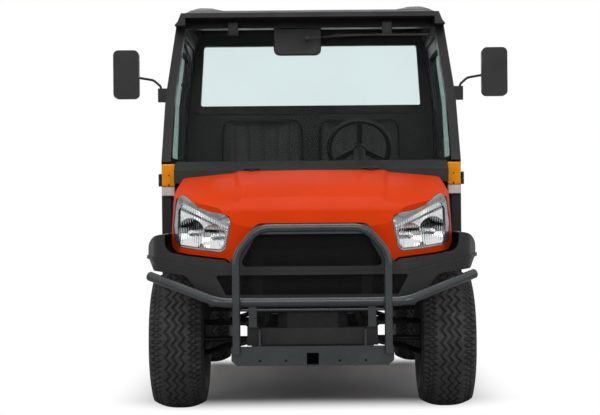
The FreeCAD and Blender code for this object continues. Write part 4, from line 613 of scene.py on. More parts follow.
# %% [markdown]
# Fenders, fascia, roof and dash are moulded black plastic. Its skin is a leather-like grain of tiny cells,
# which scatters light, so it looks dark grey where a lamp falls on it.

# %% Moulded plastic
moulded_plastic = plain_finish("moulded_plastic", (0.012, 0.012, 0.0125), 0.5, specular=0.34)
mottled(moulded_plastic, (0.010, 0.010, 0.0105), (0.015, 0.015, 0.0155), 6.0)
rough_drift(moulded_plastic, 0.44, 0.56, 9.0)
grained(moulded_plastic, cell_value(moulded_plastic, 650.0), 0.0006, 0.35)
dress(moulded_plastic, "front_fascia", "cowl", "roof", "dashboard", "seat_base", "floor_tub",
      "steering_wheel", "mirrors", "driver_controls", "wiper")
# A blacker black for the grille's wires. On the front panel behind the guard the same black is painted shade,
# darker than the panel's own plastic.
wire_and_shade_black = plain_finish("wire_and_shade_black", (0.006, 0.006, 0.006), 0.55, specular=0.2)
mottled(wire_and_shade_black, (0.005, 0.005, 0.005), (0.009, 0.009, 0.009), 40.0)
dress(wire_and_shade_black, "grille", "front_panel")
print("moulded plastic on fascia, roof and inside")

# %% [markdown]
# The front guard and its plate are sprayed in a dark cool grey, a satin powder coat that shows a broad
# soft highlight along each tube.

# %% Guard coat
guard_coat = plain_finish("guard_coat", (0.032, 0.038, 0.040), 0.30, metallic=0.3, specular=0.6)
mottled(guard_coat, (0.027, 0.033, 0.035), (0.037, 0.044, 0.046), 5.0)
rough_drift(guard_coat, 0.24, 0.34, 12.0)
grained(guard_coat, noise_value(guard_coat, 420.0, 2.0), 0.0003, 0.2)
dress(guard_coat, "front_guard", "front_hitch_plate")
print("powder coat on the guard")

# %% [markdown]
# The cab, doors and frame are black steel: satin on the cab, duller and rougher on the frame, where dust
# settles.

# %% Black steel
cab_steel = plain_finish("cab_steel", (0.008, 0.008, 0.0088), 0.38, metallic=0.1, specular=0.3)
mottled(cab_steel, (0.007, 0.007, 0.0077), (0.010, 0.010, 0.0108), 7.0)
rough_drift(cab_steel, 0.32, 0.44, 10.0)
grained(cab_steel, noise_value(cab_steel, 380.0, 2.0), 0.0003, 0.15)
frame_steel = plain_finish("frame_steel", (0.010, 0.010, 0.010), 0.5, metallic=0.1, specular=0.35)
mottled(frame_steel, (0.007, 0.007, 0.007), (0.015, 0.0145, 0.014), 8.0)
rough_drift(frame_steel, 0.42, 0.62, 14.0)
grained(frame_steel, noise_value(frame_steel, 260.0, 3.0), 0.0005, 0.2)
dress(cab_steel, "cab_frame", "rear_wall", "door_left", "door_right", "door_hinges", "hood_hinges")
dress(frame_steel, "frame_rails", "frame_crossmembers", "front_tower", "bed_frame", "wishbones_front",
      "wishbones_rear", "rear_bumper", "lift_foot", "lift_barrel", "spring_legs", "tie_rods")
print("black steel on cab and frame")

# %% [markdown]
# Gear cases, hubs and the engine are cast metal: grainy, uneven and dull. The lift rod is turned steel,
# with fine rings of tool marks.

# %% Cast and turned metal
cast_metal = plain_finish("cast_metal", (0.035, 0.035, 0.036), 0.62, metallic=0.5)
mottled(cast_metal, (0.022, 0.022, 0.023), (0.055, 0.054, 0.053), 12.0)
grained(cast_metal, noise_value(cast_metal, 300.0, 6.0), 0.0012, 0.4)
turned_steel = plain_finish("turned_steel", (0.55, 0.55, 0.56), 0.28, metallic=1.0)
rough_drift(turned_steel, 0.2, 0.36, 30.0)
grained(turned_steel, noise_value(turned_steel, 500.0, 2.0, (1.0, 0.1, 0.1)), 0.0002, 0.15)
dress(cast_metal, "drivetrain", "engine_block", "rear_hub_carriers", "knuckle_left", "knuckle_right",
      "rack_housing")
dress(turned_steel, "lift_rod")
print("cast and turned metal")

# %% [markdown]
# Window glass lets nearly all light through. The windscreen and the lamp lenses are so clear that a nearly
# black sheet of low alpha gives them: it dims what lies behind it a little and keeps a sharp reflection,
# with no haze. The door glass is green from edge to edge, because one looks along it, so there the light is
# tinted on its way through the solid. The rear glass gets a paler tint of that kind further down.

# %% Glass
def clear_glass(name, alpha):
    """A thin clear sheet: it dims a little and reflects sharply."""
    material = plain_finish(name, (0.0, 0.004, 0.003), 0.02)
    shader = material.node_tree.nodes["Principled BSDF"]
    shader.inputs["Alpha"].default_value = alpha
    shader.inputs["IOR"].default_value = 1.45
    material.surface_render_method = "BLENDED"
    rough_drift(material, 0.01, 0.02, 6.0)
    return material


def tinted_glass(name, colour):
    """A sheet that light passes with a tint."""
    material = plain_finish(name, colour, 0.0)
    shader = material.node_tree.nodes["Principled BSDF"]
    shader.inputs["Transmission Weight"].default_value = 1.0
    shader.inputs["IOR"].default_value = 1.12
    mottled(material, tuple(0.96 * part for part in colour), colour, 2.0)
    return material


window_glass = clear_glass("window_glass", 0.07)
side_glass = tinted_glass("side_glass", (0.58, 0.80, 0.74))
lamp_glass = clear_glass("lamp_glass", 0.05)
dress(window_glass, "cab_glass")
dress(side_glass, "door_glass_left", "door_glass_right")
dress(lamp_glass, "headlamp_lenses")
print("glass on windows and lamps")

# %% [markdown]
# The lamp bowls are plated, and their fluting is real geometry further down, so the finish only drifts a
# little in roughness. Signal and tail lenses are clear coloured plastic with fine ribs moulded inside,
# which show as a soft wave in the surface.

# %% Plated bowls and lenses
def ribbed_lens(name, colour, stretch):
    """Glossy coloured plastic with a soft wave of ribs across one axis."""
    material = plain_finish(name, colour, 0.22, specular=0.15)
    mottled(material, tuple(0.86 * part for part in colour), colour, 30.0)
    grained(material, noise_value(material, 120.0, 0.0, stretch), 0.0015, 0.4)
    return material


plated_bowl = plain_finish("plated_bowl", (0.86, 0.87, 0.88), 0.07, metallic=1.0)
rough_drift(plated_bowl, 0.05, 0.10, 25.0)
lamp_bezel = plain_finish("lamp_bezel", (0.34, 0.37, 0.37), 0.24, metallic=0.7)
mottled(lamp_bezel, (0.28, 0.31, 0.31), (0.42, 0.45, 0.45), 26.0)
amber_lens = ribbed_lens("amber_lens", (1.0, 0.33, 0.001), (1.0, 1.0, 0.05))
white_lens = ribbed_lens("white_lens", (0.72, 0.70, 0.66), (1.0, 1.0, 0.05))
red_lens = ribbed_lens("red_lens", (0.55, 0.012, 0.010), (0.05, 1.0, 1.0))
dress(plated_bowl, "headlamp_bowls")
dress(amber_lens, "signal_lamps")
dress(red_lens, "tail_lamps")
print("plated bowls and coloured lenses")

# %% [markdown]
# Tyre rubber is nearly black, dull, and a little grey where it has met the floor. The rims are satin black
# steel. The seats are black vinyl with a grain of fine cells.

# %% Rubber, rims and vinyl
rubber = plain_finish("rubber", (0.020, 0.020, 0.021), 0.72)
mottled(rubber, (0.015, 0.015, 0.016), (0.032, 0.031, 0.030), 14.0)
rough_drift(rubber, 0.62, 0.82, 18.0)
grained(rubber, noise_value(rubber, 420.0, 4.0), 0.0005, 0.35)
rim_steel = plain_finish("rim_steel", (0.024, 0.024, 0.025), 0.34, metallic=0.4)
rough_drift(rim_steel, 0.28, 0.42, 16.0)
grained(rim_steel, noise_value(rim_steel, 300.0, 2.0), 0.0003, 0.15)
WHEELS = ("front_left", "front_right", "rear_left", "rear_right")
dress(rubber, *["tyre_" + wheel for wheel in WHEELS])
dress(rim_steel, *["rim_" + wheel for wheel in WHEELS])
seat_vinyl = plain_finish("seat_vinyl", (0.016, 0.0165, 0.0165), 0.5, specular=0.35)
mottled(seat_vinyl, (0.012, 0.0125, 0.0125), (0.020, 0.0205, 0.0205), 10.0)
grained(seat_vinyl, cell_value(seat_vinyl, 420.0), 0.0008, 0.45)
dress(seat_vinyl, "seat_cushions", "seat_backs")
print("finishes:", len(bpy.data.materials))

# %% [markdown]
# ## Tyres
# The tyre is one surface: its radius is a function of the turn and of the distance across. Three deep
# zigzag grooves run round the middle. On each shoulder two zigzags in opposite phase cross and leave a
# chain of diamonds, each with a smaller diamond cut into it, and notches split the edge into lugs. A groove
# is a smooth dip wherever a point is near a line, so the whole tread is one array of radii.

# %% Tread surface
TYRE_RADIUS = 0.3175
HALF_TREAD = 0.1175
CROWN_FALL = 0.030
PITCHES = 34
GROOVE_DEPTH = 0.0110
MIDDLE_GROOVES = (-0.0330, 0.0, 0.0330)
MIDDLE_SWAY = 0.0120
MIDDLE_SLANT = 0.72
SHOULDER_START = 0.051
SHOULDER_END = 0.1010
SHOULDER_SLANT = 0.60
DIAMOND_MIDDLE = 0.0850
DIAMOND_SWAY = 0.0215
SMALL_DIAMOND_WIDTH = 0.0105
SMALL_DIAMOND_LENGTH = 0.165
NOTCH_SCALE = 0.062
WALL_TOP = 0.2850
WALL_FOOT = 0.1560
WALL_BULGE = 0.0090
WALL_TUCK = 0.016
RIB_DEPTH = 0.0030
BORE_HALF = 0.1000


def zigzag(phase):
    """A triangle wave between -1 and 1 over one pitch."""
    return 4.0 * np.abs(phase - np.floor(phase + 0.5)) - 1.0


def dip(distance, half_width, blend=0.0015):
    """1 inside a groove of that half width and 0 outside, blended over a short distance."""
    share = np.clip((half_width + blend - distance) / (2 * blend), 0.0, 1.0)
    return share * share * (3.0 - 2.0 * share)


def tread_grooves(phase, x):
    """How deep each point lies in a groove, from 0 on a block to 1 on a groove's floor. A slant turns the
    distance straight across into the shorter one that is square to the slanting line."""
    groove = np.zeros(np.broadcast(phase, x).shape)
    for centre in MIDDLE_GROOVES:
        away = np.abs(x - centre - MIDDLE_SWAY * zigzag(phase))
        groove = np.maximum(groove, dip(away * MIDDLE_SLANT, 0.0040))
    for side in (1.0, -1.0):
        reach = side * x
        outside = reach > SHOULDER_START
        own = phase + 0.25 * side
        for turn in (1.0, -1.0):
            line = DIAMOND_MIDDLE + DIAMOND_SWAY * turn * zigzag(own)
            groove = np.maximum(groove, dip(np.abs(reach - line) * SHOULDER_SLANT, 0.0034) * outside)
        for shift in (0.0, 0.5):
            across = np.abs(own - shift - np.floor(own - shift + 0.5))
            ring = np.abs(reach - DIAMOND_MIDDLE) / SMALL_DIAMOND_WIDTH + across / SMALL_DIAMOND_LENGTH
            groove = np.maximum(groove, 0.7 * dip(np.abs(ring - 1.0) * 0.007, 0.0018) * outside)
        along = np.abs(own - np.floor(own + 0.5))
        notch = dip(np.minimum(along, 0.5 - along) * NOTCH_SCALE, 0.0042)
        groove = np.maximum(groove, notch * (reach > SHOULDER_END))
    return groove


def tyre_mesh(turns=PITCHES * 20, across=92, bore_columns=9):
    """Rows go round, columns go across and back inside: outside, the radius is the crown less the grooves;
    the crown falls off towards the shoulder by a power of the distance, and the wall bulges like a sine."""
    phase = np.arange(turns)[:, None] / turns * PITCHES
    angle = np.arange(turns)[:, None] / turns * 2 * np.pi
    share = np.linspace(-1.0, 1.0, across)[None, :]
    crown = TYRE_RADIUS - CROWN_FALL * np.abs(share) ** 2.6
    radius = crown - GROOVE_DEPTH * tread_grooves(phase, HALF_TREAD * share)
    tread_x = np.broadcast_to(HALF_TREAD * share, radius.shape)
    steps = np.linspace(0.0, 1.0, 12)[None, 1:]
    wall_radius = np.broadcast_to(WALL_TOP - (WALL_TOP - WALL_FOOT) * steps, (turns, steps.size))
    bulge = WALL_BULGE * np.sin(np.pi * np.clip(steps * 1.15, 0, 1))
    rib = -RIB_DEPTH * (np.abs(zigzag(phase * 2.0 + 0.5)) > 0.35) * (steps < 0.30)
    wall_x = HALF_TREAD + bulge - WALL_TUCK * steps ** 3 + rib
    bore_x = np.broadcast_to(np.linspace(BORE_HALF, -BORE_HALF, bore_columns), (turns, bore_columns))
    bore_radius = 0.1600 + 0.020 * (1 - (bore_x / BORE_HALF) ** 2)
    all_x = np.concatenate([tread_x, wall_x, bore_x, -wall_x[:, ::-1]], axis=1)
    all_radius = np.concatenate([radius, wall_radius, bore_radius, wall_radius[:, ::-1]], axis=1)
    points = np.stack([all_x, all_radius * np.cos(angle), all_radius * np.sin(angle)], axis=-1)
    return points.reshape(-1, 3), grid_faces(turns, all_x.shape[1], round_rows=True, round_columns=True)


def wheel_place(wheel):
    """A wheel's side, +1 or -1, and the middle of its tyre."""
    side = 1.0 if wheel.endswith("left") else -1.0
    axle = FRONT_AXLE if wheel.startswith("front") else REAR_AXLE
    return side, np.array((side * TYRE_X, axle, HUB_HEIGHT))


tyre_points, tyre_faces = tyre_mesh()
for wheel in WHEELS:
    points = tyre_points + wheel_place(wheel)[1]
    tyre = make_piece("tread_" + wheel, points, tyre_faces, "wheel_" + wheel, "tyre_rubber", rubber)
    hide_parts("tyre_" + wheel)
print("faces on each tyre:", len(tyre_faces))

# %% [markdown]
# Each rim is held by five nuts round a plain black cap, and has a valve near its edge. The nuts are one
# repeated mesh, and the cap is a turned profile.

# %% Wheel nuts, caps and valves
NUTS = 5
NUT_CIRCLE = 0.0505
HUB_DEPTH = 0.052
VALVE_DEPTH = 0.030
CAP = [(0.0, 0.001), (0.0, 0.030), (0.012, 0.030), (0.020, 0.026), (0.023, 0.018), (0.024, 0.001)]
VALVE = [(0.0, 0.0005), (0.0, 0.004), (0.012, 0.0036), (0.013, 0.0028), (0.024, 0.0028), (0.025, 0.0005)]

for wheel in WHEELS:
    body = "wheel_" + wheel
    side, (_, axle, height) = wheel_place(wheel)
    lowest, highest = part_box("rim_" + wheel)
    face_x = (highest if side > 0 else lowest)[0]
    hub_x = face_x - side * HUB_DEPTH
    turns = np.arange(NUTS) / NUTS * 2 * np.pi + 0.3
    places = np.stack([np.full(NUTS, hub_x), axle + NUT_CIRCLE * np.cos(turns),
                       height + NUT_CIRCLE * np.sin(turns)], axis=1)
    bolts("nuts_" + wheel, places, (side, 0, 0), 0.0085, 0.014, body, "bright_steel", turned_steel)
    cap = lathe_mesh(CAP, (hub_x, axle, height), (side, 0, 0), 40)
    valve_place = (face_x - side * VALVE_DEPTH, axle + 0.118, height + 0.02)
    valve = lathe_mesh(VALVE, valve_place, (side, 0, 0), 16)
    sharpen(make_piece("cap_" + wheel, *joined([cap, valve]), body, "rim_steel", rim_steel))
print("wheel fittings:", NUTS * len(WHEELS), "nuts")

# %% [markdown]
# ## Seats
# Each seat is a padded cushion and a padded back in black vinyl. The outline starts a little smaller than
# the CAD solid; cloth under gentle pressure then swells it, so that the faces crown and the sides pull in
# between the corners, as foam under a sewn cover does. The sewn channels come last, as grooves pressed
# into the swollen skin.

# %% Padded seats
SWELL = 0.012
PRESSURE = 4.0
FRAMES = 20
CHANNEL_DEPTH = 0.007
CHANNEL_WIDTH = 0.006


def soft_block(low, high, cells, rounding):
    """A box whose six faces are grids, with its edges rounded: each point is pulled to the inner box and
    pushed out again by the rounding radius."""
    low = np.array(low, float)
    high = np.array(high, float)
    sheets = []
    for axis in range(3):
        u_axis, v_axis = [k for k in range(3) if k != axis]
        steps = [np.linspace(0, 1, cells[k] + 1) for k in (u_axis, v_axis)]
        u, v = np.meshgrid(*steps, indexing="ij")
        for end in (0.0, 1.0):
            cube = np.zeros(u.shape + (3,))
            cube[..., axis] = end
            cube[..., u_axis] = u
            cube[..., v_axis] = v
            sheets.append((cube.reshape(-1, 3), grid_faces(*u.shape).tolist()))
    points, faces = joined(sheets)
    points = low + points * (high - low)
    inner = np.clip(points, low + rounding, high - rounding)
    offset = points - inner
    length = np.linalg.norm(offset, axis=1, keepdims=True)
    return inner + offset / np.maximum(length, 1e-9) * rounding, faces


def leaned(points, pivot, lean):
    """Leans points back about a pivot height: y grows with height by the lean's tangent."""
    moved = np.array(points, float)
    moved[:, 1] += (moved[:, 2] - pivot) * lean
    return moved


def narrowed(points, centre, top, reach=0.10, most=0.14):
    """Rounds a backrest's upper corners: its half width shrinks with the cube of the nearness to the top."""
    moved = np.array(points, float)
    near = np.clip((moved[:, 2] - top + reach) / reach, 0.0, 1.0)
    moved[:, 0] = centre + (moved[:, 0] - centre) * (1.0 - most * near ** 3)
    return moved


def swollen(name, points, faces):
    """Cloth under pressure, with no gravity, for twenty frames; no point moves further than the swell."""
    mesh = bpy.data.meshes.new(name)
    mesh.from_pydata(np.asarray(points).tolist(), [], [tuple(face) for face in faces])
    sheet = bmesh.new()
    sheet.from_mesh(mesh)
    bmesh.ops.remove_doubles(sheet, verts=sheet.verts, dist=0.0004)
    bmesh.ops.recalc_face_normals(sheet, faces=sheet.faces)
    sheet.to_mesh(mesh)
    sheet.free()
    piece = bpy.data.objects.new(name, mesh)
    scene.collection.objects.link(piece)
    start = np.zeros(len(mesh.vertices) * 3)
    mesh.vertices.foreach_get("co", start)
    cloth = piece.modifiers.new("fill", "CLOTH")
    cloth.settings.use_pressure = True
    cloth.settings.uniform_pressure_force = PRESSURE
    cloth.settings.tension_stiffness = 25.0
    cloth.settings.bending_stiffness = 0.6
    cloth.settings.effector_weights.gravity = 0.0
    for step in range(1, FRAMES + 1):
        scene.frame_set(step)
    depsgraph = bpy.context.evaluated_depsgraph_get()
    result = piece.evaluated_get(depsgraph).to_mesh()
    end = np.zeros(len(result.vertices) * 3)
    result.vertices.foreach_get("co", end)
    start = start.reshape(-1, 3)
    move = end.reshape(-1, 3) - start
    length = np.linalg.norm(move, axis=1, keepdims=True)
    move *= np.minimum(1.0, SWELL / np.maximum(length, 1e-9))
    piece.modifiers.clear()
    mesh.vertices.foreach_set("co", (start + move).ravel())
    mesh.update()
    scene.frame_set(1)
    return piece


def sewn(piece, lines, looks):
    """Presses sewn channels into a swollen piece: a point sinks by a bell curve of its distance across to
    the nearest line, and only where its face looks the given way."""
    mesh = piece.data
    sheet = bmesh.new()
    sheet.from_mesh(mesh)
    bmesh.ops.subdivide_edges(sheet, edges=sheet.edges, cuts=1, use_grid_fill=True, smooth=1.0)
    sheet.to_mesh(mesh)
    sheet.free()
    points = np.zeros(len(mesh.vertices) * 3)
    normals = np.zeros(len(mesh.vertices) * 3)
    mesh.vertices.foreach_get("co", points)
    mesh.vertex_normals.foreach_get("vector", normals)
    points = points.reshape(-1, 3)
    normals = normals.reshape(-1, 3)
    distance = np.abs(points[:, :1] - np.asarray(lines)[None, :]).min(axis=1)
    facing = np.clip(normals @ np.asarray(looks, float), 0.0, 1.0)
    sink = CHANNEL_DEPTH * np.exp(-(distance / CHANNEL_WIDTH) ** 2) * facing
    mesh.vertices.foreach_set("co", (points - normals * sink[:, None]).ravel())
    mesh.update()
    return piece


SEAT_LINES = (-0.155, -0.0775, 0.0, 0.0775, 0.155)
SEAT_MIDDLE = 0.267
SEAT_HALF = 0.239
SIDE_ROOM = 0.006
END_ROOM = 0.012
TOP_ROOM = 0.008
BACK_DEPTH = 0.088
BACK_LEAN = 0.065
cushion_low, cushion_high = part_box("seat_cushions")
back_low, back_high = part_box("seat_backs")
half = SEAT_HALF - SIDE_ROOM
back_top = back_high[2] - TOP_ROOM
for side in SIDES:
    place = "driver" if side > 0 else "passenger"
    centre = side * SEAT_MIDDLE
    lines = [centre + line for line in SEAT_LINES]
    points, faces = soft_block((centre - half, cushion_low[1] + END_ROOM, cushion_low[2] + 0.002),
                               (centre + half, cushion_high[1] - END_ROOM, cushion_high[2] - 0.010),
                               (30, 26, 8), 0.032)
    cushion = sewn(swollen(place + "_cushion", points, faces), lines, (0, 0, 1))
    points, faces = soft_block((centre - half, back_low[1] + END_ROOM, back_low[2] + 0.006),
                               (centre + half, back_low[1] + BACK_DEPTH, back_top), (30, 8, 30), 0.030)
    points = leaned(points, back_low[2], BACK_LEAN / (back_high[2] - back_low[2]))
    back = swollen(place + "_backrest", narrowed(points, centre, back_top), faces)
    back = sewn(back, lines, (0, -1, 0))
    for piece, node in ((cushion, "seat_cushions"), (back, "seat_backs")):
        piece.data.materials.append(seat_vinyl)
        piece.data.polygons.foreach_set("use_smooth", np.full(len(piece.data.polygons), True))
        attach(piece, "root")
        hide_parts(node)
print("seats:", cushion_low[:], back_high[:])

# %% [markdown]
# ## Spring legs
# In CAD each spring leg is a plain sleeve. Here it is what it stands for: a damper body, its rod, two
# eyes, and a coil spring, whose line is a helix about the leg's axis.

# %% Coils and dampers
COIL_TURNS = 7.5
COIL_RADIUS = 0.0265
COIL_WIRE = 0.0048
COIL_START = 0.066
SEAT_RISE = 0.058
EYE = [(-0.016, 0.0095), (-0.016, 0.016), (0.016, 0.016), (0.016, 0.0095)]


def leg_mesh(foot, head):
    """Damper body, rod and eyes as turned profiles along the leg, and the coil as a tube on a helix."""
    foot = np.array(foot, float)
    head = np.array(head, float)
    span = np.linalg.norm(head - foot)
    along = (head - foot) / span
    body = lathe_mesh([(0.050, 0.0005), (0.050, 0.019), (span * 0.62, 0.019), (span * 0.62 + 0.004, 0.0085),
                       (span - 0.045, 0.0085), (span - 0.045, 0.0005)], foot, along, 24)
    seats = []
    for rise in (SEAT_RISE, span - SEAT_RISE):
        disc = [(rise, 0.0005), (rise, 0.031), (rise + 0.005, 0.031), (rise + 0.005, 0.0005)]
        seats.append(lathe_mesh(disc, foot, along, 28))
    share = np.linspace(0.0, 1.0, 190)
    angle = share * COIL_TURNS * 2 * np.pi
    local = np.stack([COIL_RADIUS * np.cos(angle), COIL_RADIUS * np.sin(angle),
                      COIL_START + (span - 0.128) * share], axis=1)
    coil = swept(foot + local @ turned_to(along).T, ring_section(COIL_WIRE, 10), along)
    eyes = [lathe_mesh(EYE, end, (0, 1, 0), 24) for end in (foot, head)]
    return joined([body, *seats, coil, *eyes])


coils = []
for axle, head in ((FRONT_AXLE, 0.715), (REAR_AXLE, 0.690)):
    for side in SIDES:
        coils.append(leg_mesh((side * 0.398, axle, 0.398), (side * 0.296, axle, head)))
legs = sharpen(make_piece("coils_and_dampers", *joined(coils), "root", "frame_paint", frame_steel), 40)
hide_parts("spring_legs")
print("spring legs:", len(coils))

# %% [markdown]
# ## Grille mesh
# Behind both mouths lies a woven black mesh with a pitch of nine and a half millimetres. Each wire is a thin
# flat bar, clipped to the outline of its mouth: the upright ones stop where the sloping side cuts them off,
# and the level ones are as long as the mouth is wide at their height.

# %% Grille wires
MESH_PITCH = 0.0095
WIRE_WIDTH = 0.0022
WIRE_DEPTH = 0.003


def straight_bars(starts, stops):
    """Flat bars from starts to stops, all at once: four corners round each end, broadcast over the bars."""
    starts = np.asarray(starts, float)
    stops = np.asarray(stops, float)
    along = stops - starts
    along /= np.linalg.norm(along, axis=1, keepdims=True)
    side = np.cross(along, (0.0, 1.0, 0.0))
    ends = np.stack([starts, stops], axis=1)
    corners = np.array([(-1, -1), (1, -1), (1, 1), (-1, 1)], float) * (WIRE_WIDTH / 2, WIRE_DEPTH / 2)
    points = ends[:, :, None, :] + side[:, None, None, :] * corners[None, None, :, :1]
    points = points + np.array((0.0, 1.0, 0.0)) * corners[None, None, :, 1:]
    base = np.array([(0, 1, 5, 4), (1, 2, 6, 5), (2, 3, 7, 6), (3, 0, 4, 7), (0, 3, 2, 1), (4, 5, 6, 7)])
    faces = base[None] + 8 * np.arange(len(starts))[:, None, None]
    return points.reshape(-1, 3), faces.reshape(-1, 4).tolist()


def mouth_wires(low, high, low_half, high_half, y):
    """Wires of one mouth: its half width changes in proportion to height between the two given ones."""
    z = np.arange(low + MESH_PITCH / 2, high, MESH_PITCH)
    half = low_half + (high_half - low_half) * (z - low) / (high - low)
    level_y = np.full_like(z, y)
    level = straight_bars(np.stack([-half, level_y, z], axis=1), np.stack([half, level_y, z], axis=1))
    widest = max(low_half, high_half)
    x = np.arange(-widest + MESH_PITCH / 2, widest, MESH_PITCH)
    share = np.clip((np.abs(x) - low_half) / (high_half - low_half), 0.0, 1.0)
    cut = low + (high - low) * share
    bottom = np.full_like(x, low) if high_half < low_half else cut
    top = cut if high_half < low_half else np.full_like(x, high)
    upright_y = np.full_like(x, y + WIRE_DEPTH)
    upright = straight_bars(np.stack([x, upright_y, bottom], axis=1), np.stack([x, upright_y, top], axis=1))
    return joined([level, upright])


mesh_y = FRONT_AXLE - 0.4525
upper_wires = mouth_wires(0.673, 0.817, 0.322, 0.240, mesh_y)
lower_wires = mouth_wires(0.548, 0.638, 0.376, 0.424, mesh_y)
grille_mesh = make_piece("grille_mesh", *joined([upper_wires, lower_wires]), "root", "black_plastic",
                         wire_and_shade_black, smooth=False, outward=False)
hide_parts("grille")
print("faces in the grille mesh:", len(grille_mesh.data.polygons))

# %% [markdown]
# ## Headlamps
# Behind each clear lens stands a grey bezel, wide above and narrow below, and inside it a plated reflector
# with two bowls and a bulb in each. The nose's own form is needed for that: seen from above it is three
# straight runs, softened where they meet, and from the side two more, and a point lies on whichever is
# further back.

# %% Nose surface and lamp outlines
LIP = 0.862
LAMP = [(583, 130, 8), (614, 110, 16), (636, -10, 60), (626, -80, 20), (604, -104, 16), (508, -118, 80),
        (401, -129, 14), (379, -109, 20), (364, -46, 60), (356, 14, 10), (362, 32, 10), (404, 46, 60),
        (458, 55, 60), (507, 75, 50), (546, 106, 20), (569, 126, 8)]
WINDOW = [(583, 88, 12), (604, 60, 20), (608, -20, 60), (596, -94, 16), (500, -107, 60), (399, -114, 14),
          (380, -90, 20), (370, -30, 30), (372, -14, 8), (470, 36, 60), (550, 78, 40)]


def nose_y(x, z):
    """Where the nose's skin lies at a place seen from ahead."""
    x = np.abs(x)
    plan = sum(np.interp(x + shift, (0.0, 0.360, 0.605, 0.650), (-0.460, -0.430, -0.250, -0.080))
               for shift in (-0.012, 0.0, 0.012)) / 3
    side = np.interp(z, (LIP - 0.060, LIP + 0.062, LIP + 0.146), (-0.460, -0.400, -0.280))
    return FRONT_AXLE + np.maximum(plan, side)


def from_lip(corners):
    """An outline given in millimetres from the hood's lip, in metres."""
    return rounded_outline([(x / 1000, LIP + rise / 1000, radius / 1000) for x, rise, radius in corners])


def around(outline, middle, count=200):
    """A closed line's points at even angles about a middle: it is first cut into short steps, and then its
    radius is interpolated over the angle."""
    closed = np.vstack([outline, outline[:1]])
    length = np.concatenate([[0.0], np.cumsum(np.linalg.norm(np.diff(closed, axis=0), axis=1))])
    even = np.linspace(0.0, length[-1], 4000, endpoint=False)
    fine = np.stack([np.interp(even, length, closed[:, axis]) for axis in (0, 1)], axis=1)
    span = fine - middle
    angle = np.arctan2(span[:, 1], span[:, 0])
    order = np.argsort(angle)
    even = np.arange(count) / count * 2 * np.pi - np.pi
    radius = np.interp(even, angle[order], np.linalg.norm(span, axis=1)[order], period=2 * np.pi)
    return middle + np.stack([np.cos(even), np.sin(even)], axis=1) * radius[:, None]


print("nose at the lamp's middle:", float(nose_y(np.array(0.5), np.array(0.85))))

# %% [markdown]
# The bezel is ruled between the two outlines. The reflector is a grid of rings that shrink from the inner
# outline to its middle: its depth is the nose's, plus a paraboloid at each bowl, plus upright flutes all
# over, less a step where a shelf runs along the upper edge.

# %% Bezels, reflectors and bulbs
BOWLS = ((0.546, -0.044, 0.066), (0.440, -0.060, 0.056))
SHEET_DEPTH = 0.030
BOWL_DEPTH = 0.030
FLUTE_PITCH = 0.0110
FLUTE_HEIGHT = 0.0018
SHELF_STEP = 0.012
BULB = [(-0.002, 0.0005), (-0.002, 0.013), (0.010, 0.013), (0.012, 0.008), (0.034, 0.008), (0.040, 0.006),
        (0.042, 0.0005)]
lamp_middle = np.array((0.490, LIP - 0.020))


def lamp_bezel_mesh():
    """Rings from just inside the lamp's outline in to the window and back along the window's wall: each has
    a share of the way in and a depth behind the nose."""
    outer = around(from_lip(LAMP), lamp_middle)
    inner = around(from_lip(WINDOW), lamp_middle)
    outer = lamp_middle + (outer - lamp_middle) * 0.988
    rings = []
    for share, depth in ((0.0, 0.050), (0.0, 0.010), (0.1, 0.009), (0.7, 0.015), (1.0, 0.013), (1.0, 0.055)):
        flat = outer * (1.0 - share) + inner * share
        rings.append(np.stack([flat[:, 0], nose_y(*flat.T) + depth, flat[:, 1]], axis=1))
    faces = grid_faces(len(rings), len(outer), round_rows=True, round_columns=True)
    return np.concatenate(rings), faces.tolist()


def lamp_reflector_mesh(rings=70, count=260):
    """The plated sheet inside the window."""
    inner = around(from_lip(WINDOW), lamp_middle, count)
    share = (np.linspace(1.0, 0.004, rings) ** 0.8)[:, None, None]
    flat = lamp_middle + (inner - lamp_middle)[None] * share
    x, z = flat[..., 0], flat[..., 1]
    bowl = np.zeros(x.shape)
    for bowl_x, rise, radius in BOWLS:
        away = ((x - bowl_x) ** 2 + (z - LIP - rise) ** 2) / radius ** 2
        bowl = np.maximum(bowl, np.clip(1.0 - away, 0.0, 1.0))
    shelf = np.clip((z - LIP - 0.060 + 0.46 * (0.583 - x)) / 0.010, 0.0, 1.0)
    flutes = np.abs(np.sin(np.pi * x / FLUTE_PITCH))
    y = nose_y(x, z) + SHEET_DEPTH + BOWL_DEPTH * bowl + FLUTE_HEIGHT * flutes - SHELF_STEP * shelf
    faces = grid_faces(rings, count, round_columns=True).tolist()
    faces.append(tuple(range((rings - 1) * count, rings * count)))
    return np.stack([x, y, z], axis=-1).reshape(-1, 3), faces


def bulb_meshes():
    """A capped bulb on a collar in the middle of each bowl, turned about the line that looks ahead."""
    bulbs = []
    for bowl_x, rise, _ in BOWLS:
        root = float(nose_y(np.array(bowl_x), np.array(LIP + rise))) + SHEET_DEPTH + BOWL_DEPTH
        bulbs.append(lathe_mesh(BULB, (bowl_x, root, LIP + rise), (0, -1, 0), 20))
    return joined(bulbs)


reflector = lamp_reflector_mesh()
bezels = sharpen(make_piece("lamp_bezels", *paired(lamp_bezel_mesh()), "hood", "lamp_chrome", lamp_bezel), 50)
sheets = paired(reflector)
sharpen(make_piece("lamp_reflectors", *sheets, "hood", "lamp_chrome", plated_bowl, outward=False), 60)
sharpen(make_piece("lamp_bulbs", *paired(bulb_meshes()), "hood", "lamp_chrome", turned_steel), 40)
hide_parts("headlamp_bowls")
print("faces in a reflector:", len(reflector[1]))

# %% [markdown]
# ## Signal lamps
# Each is a black base on the front post with an amber lens above a shorter white one, held by two screws.

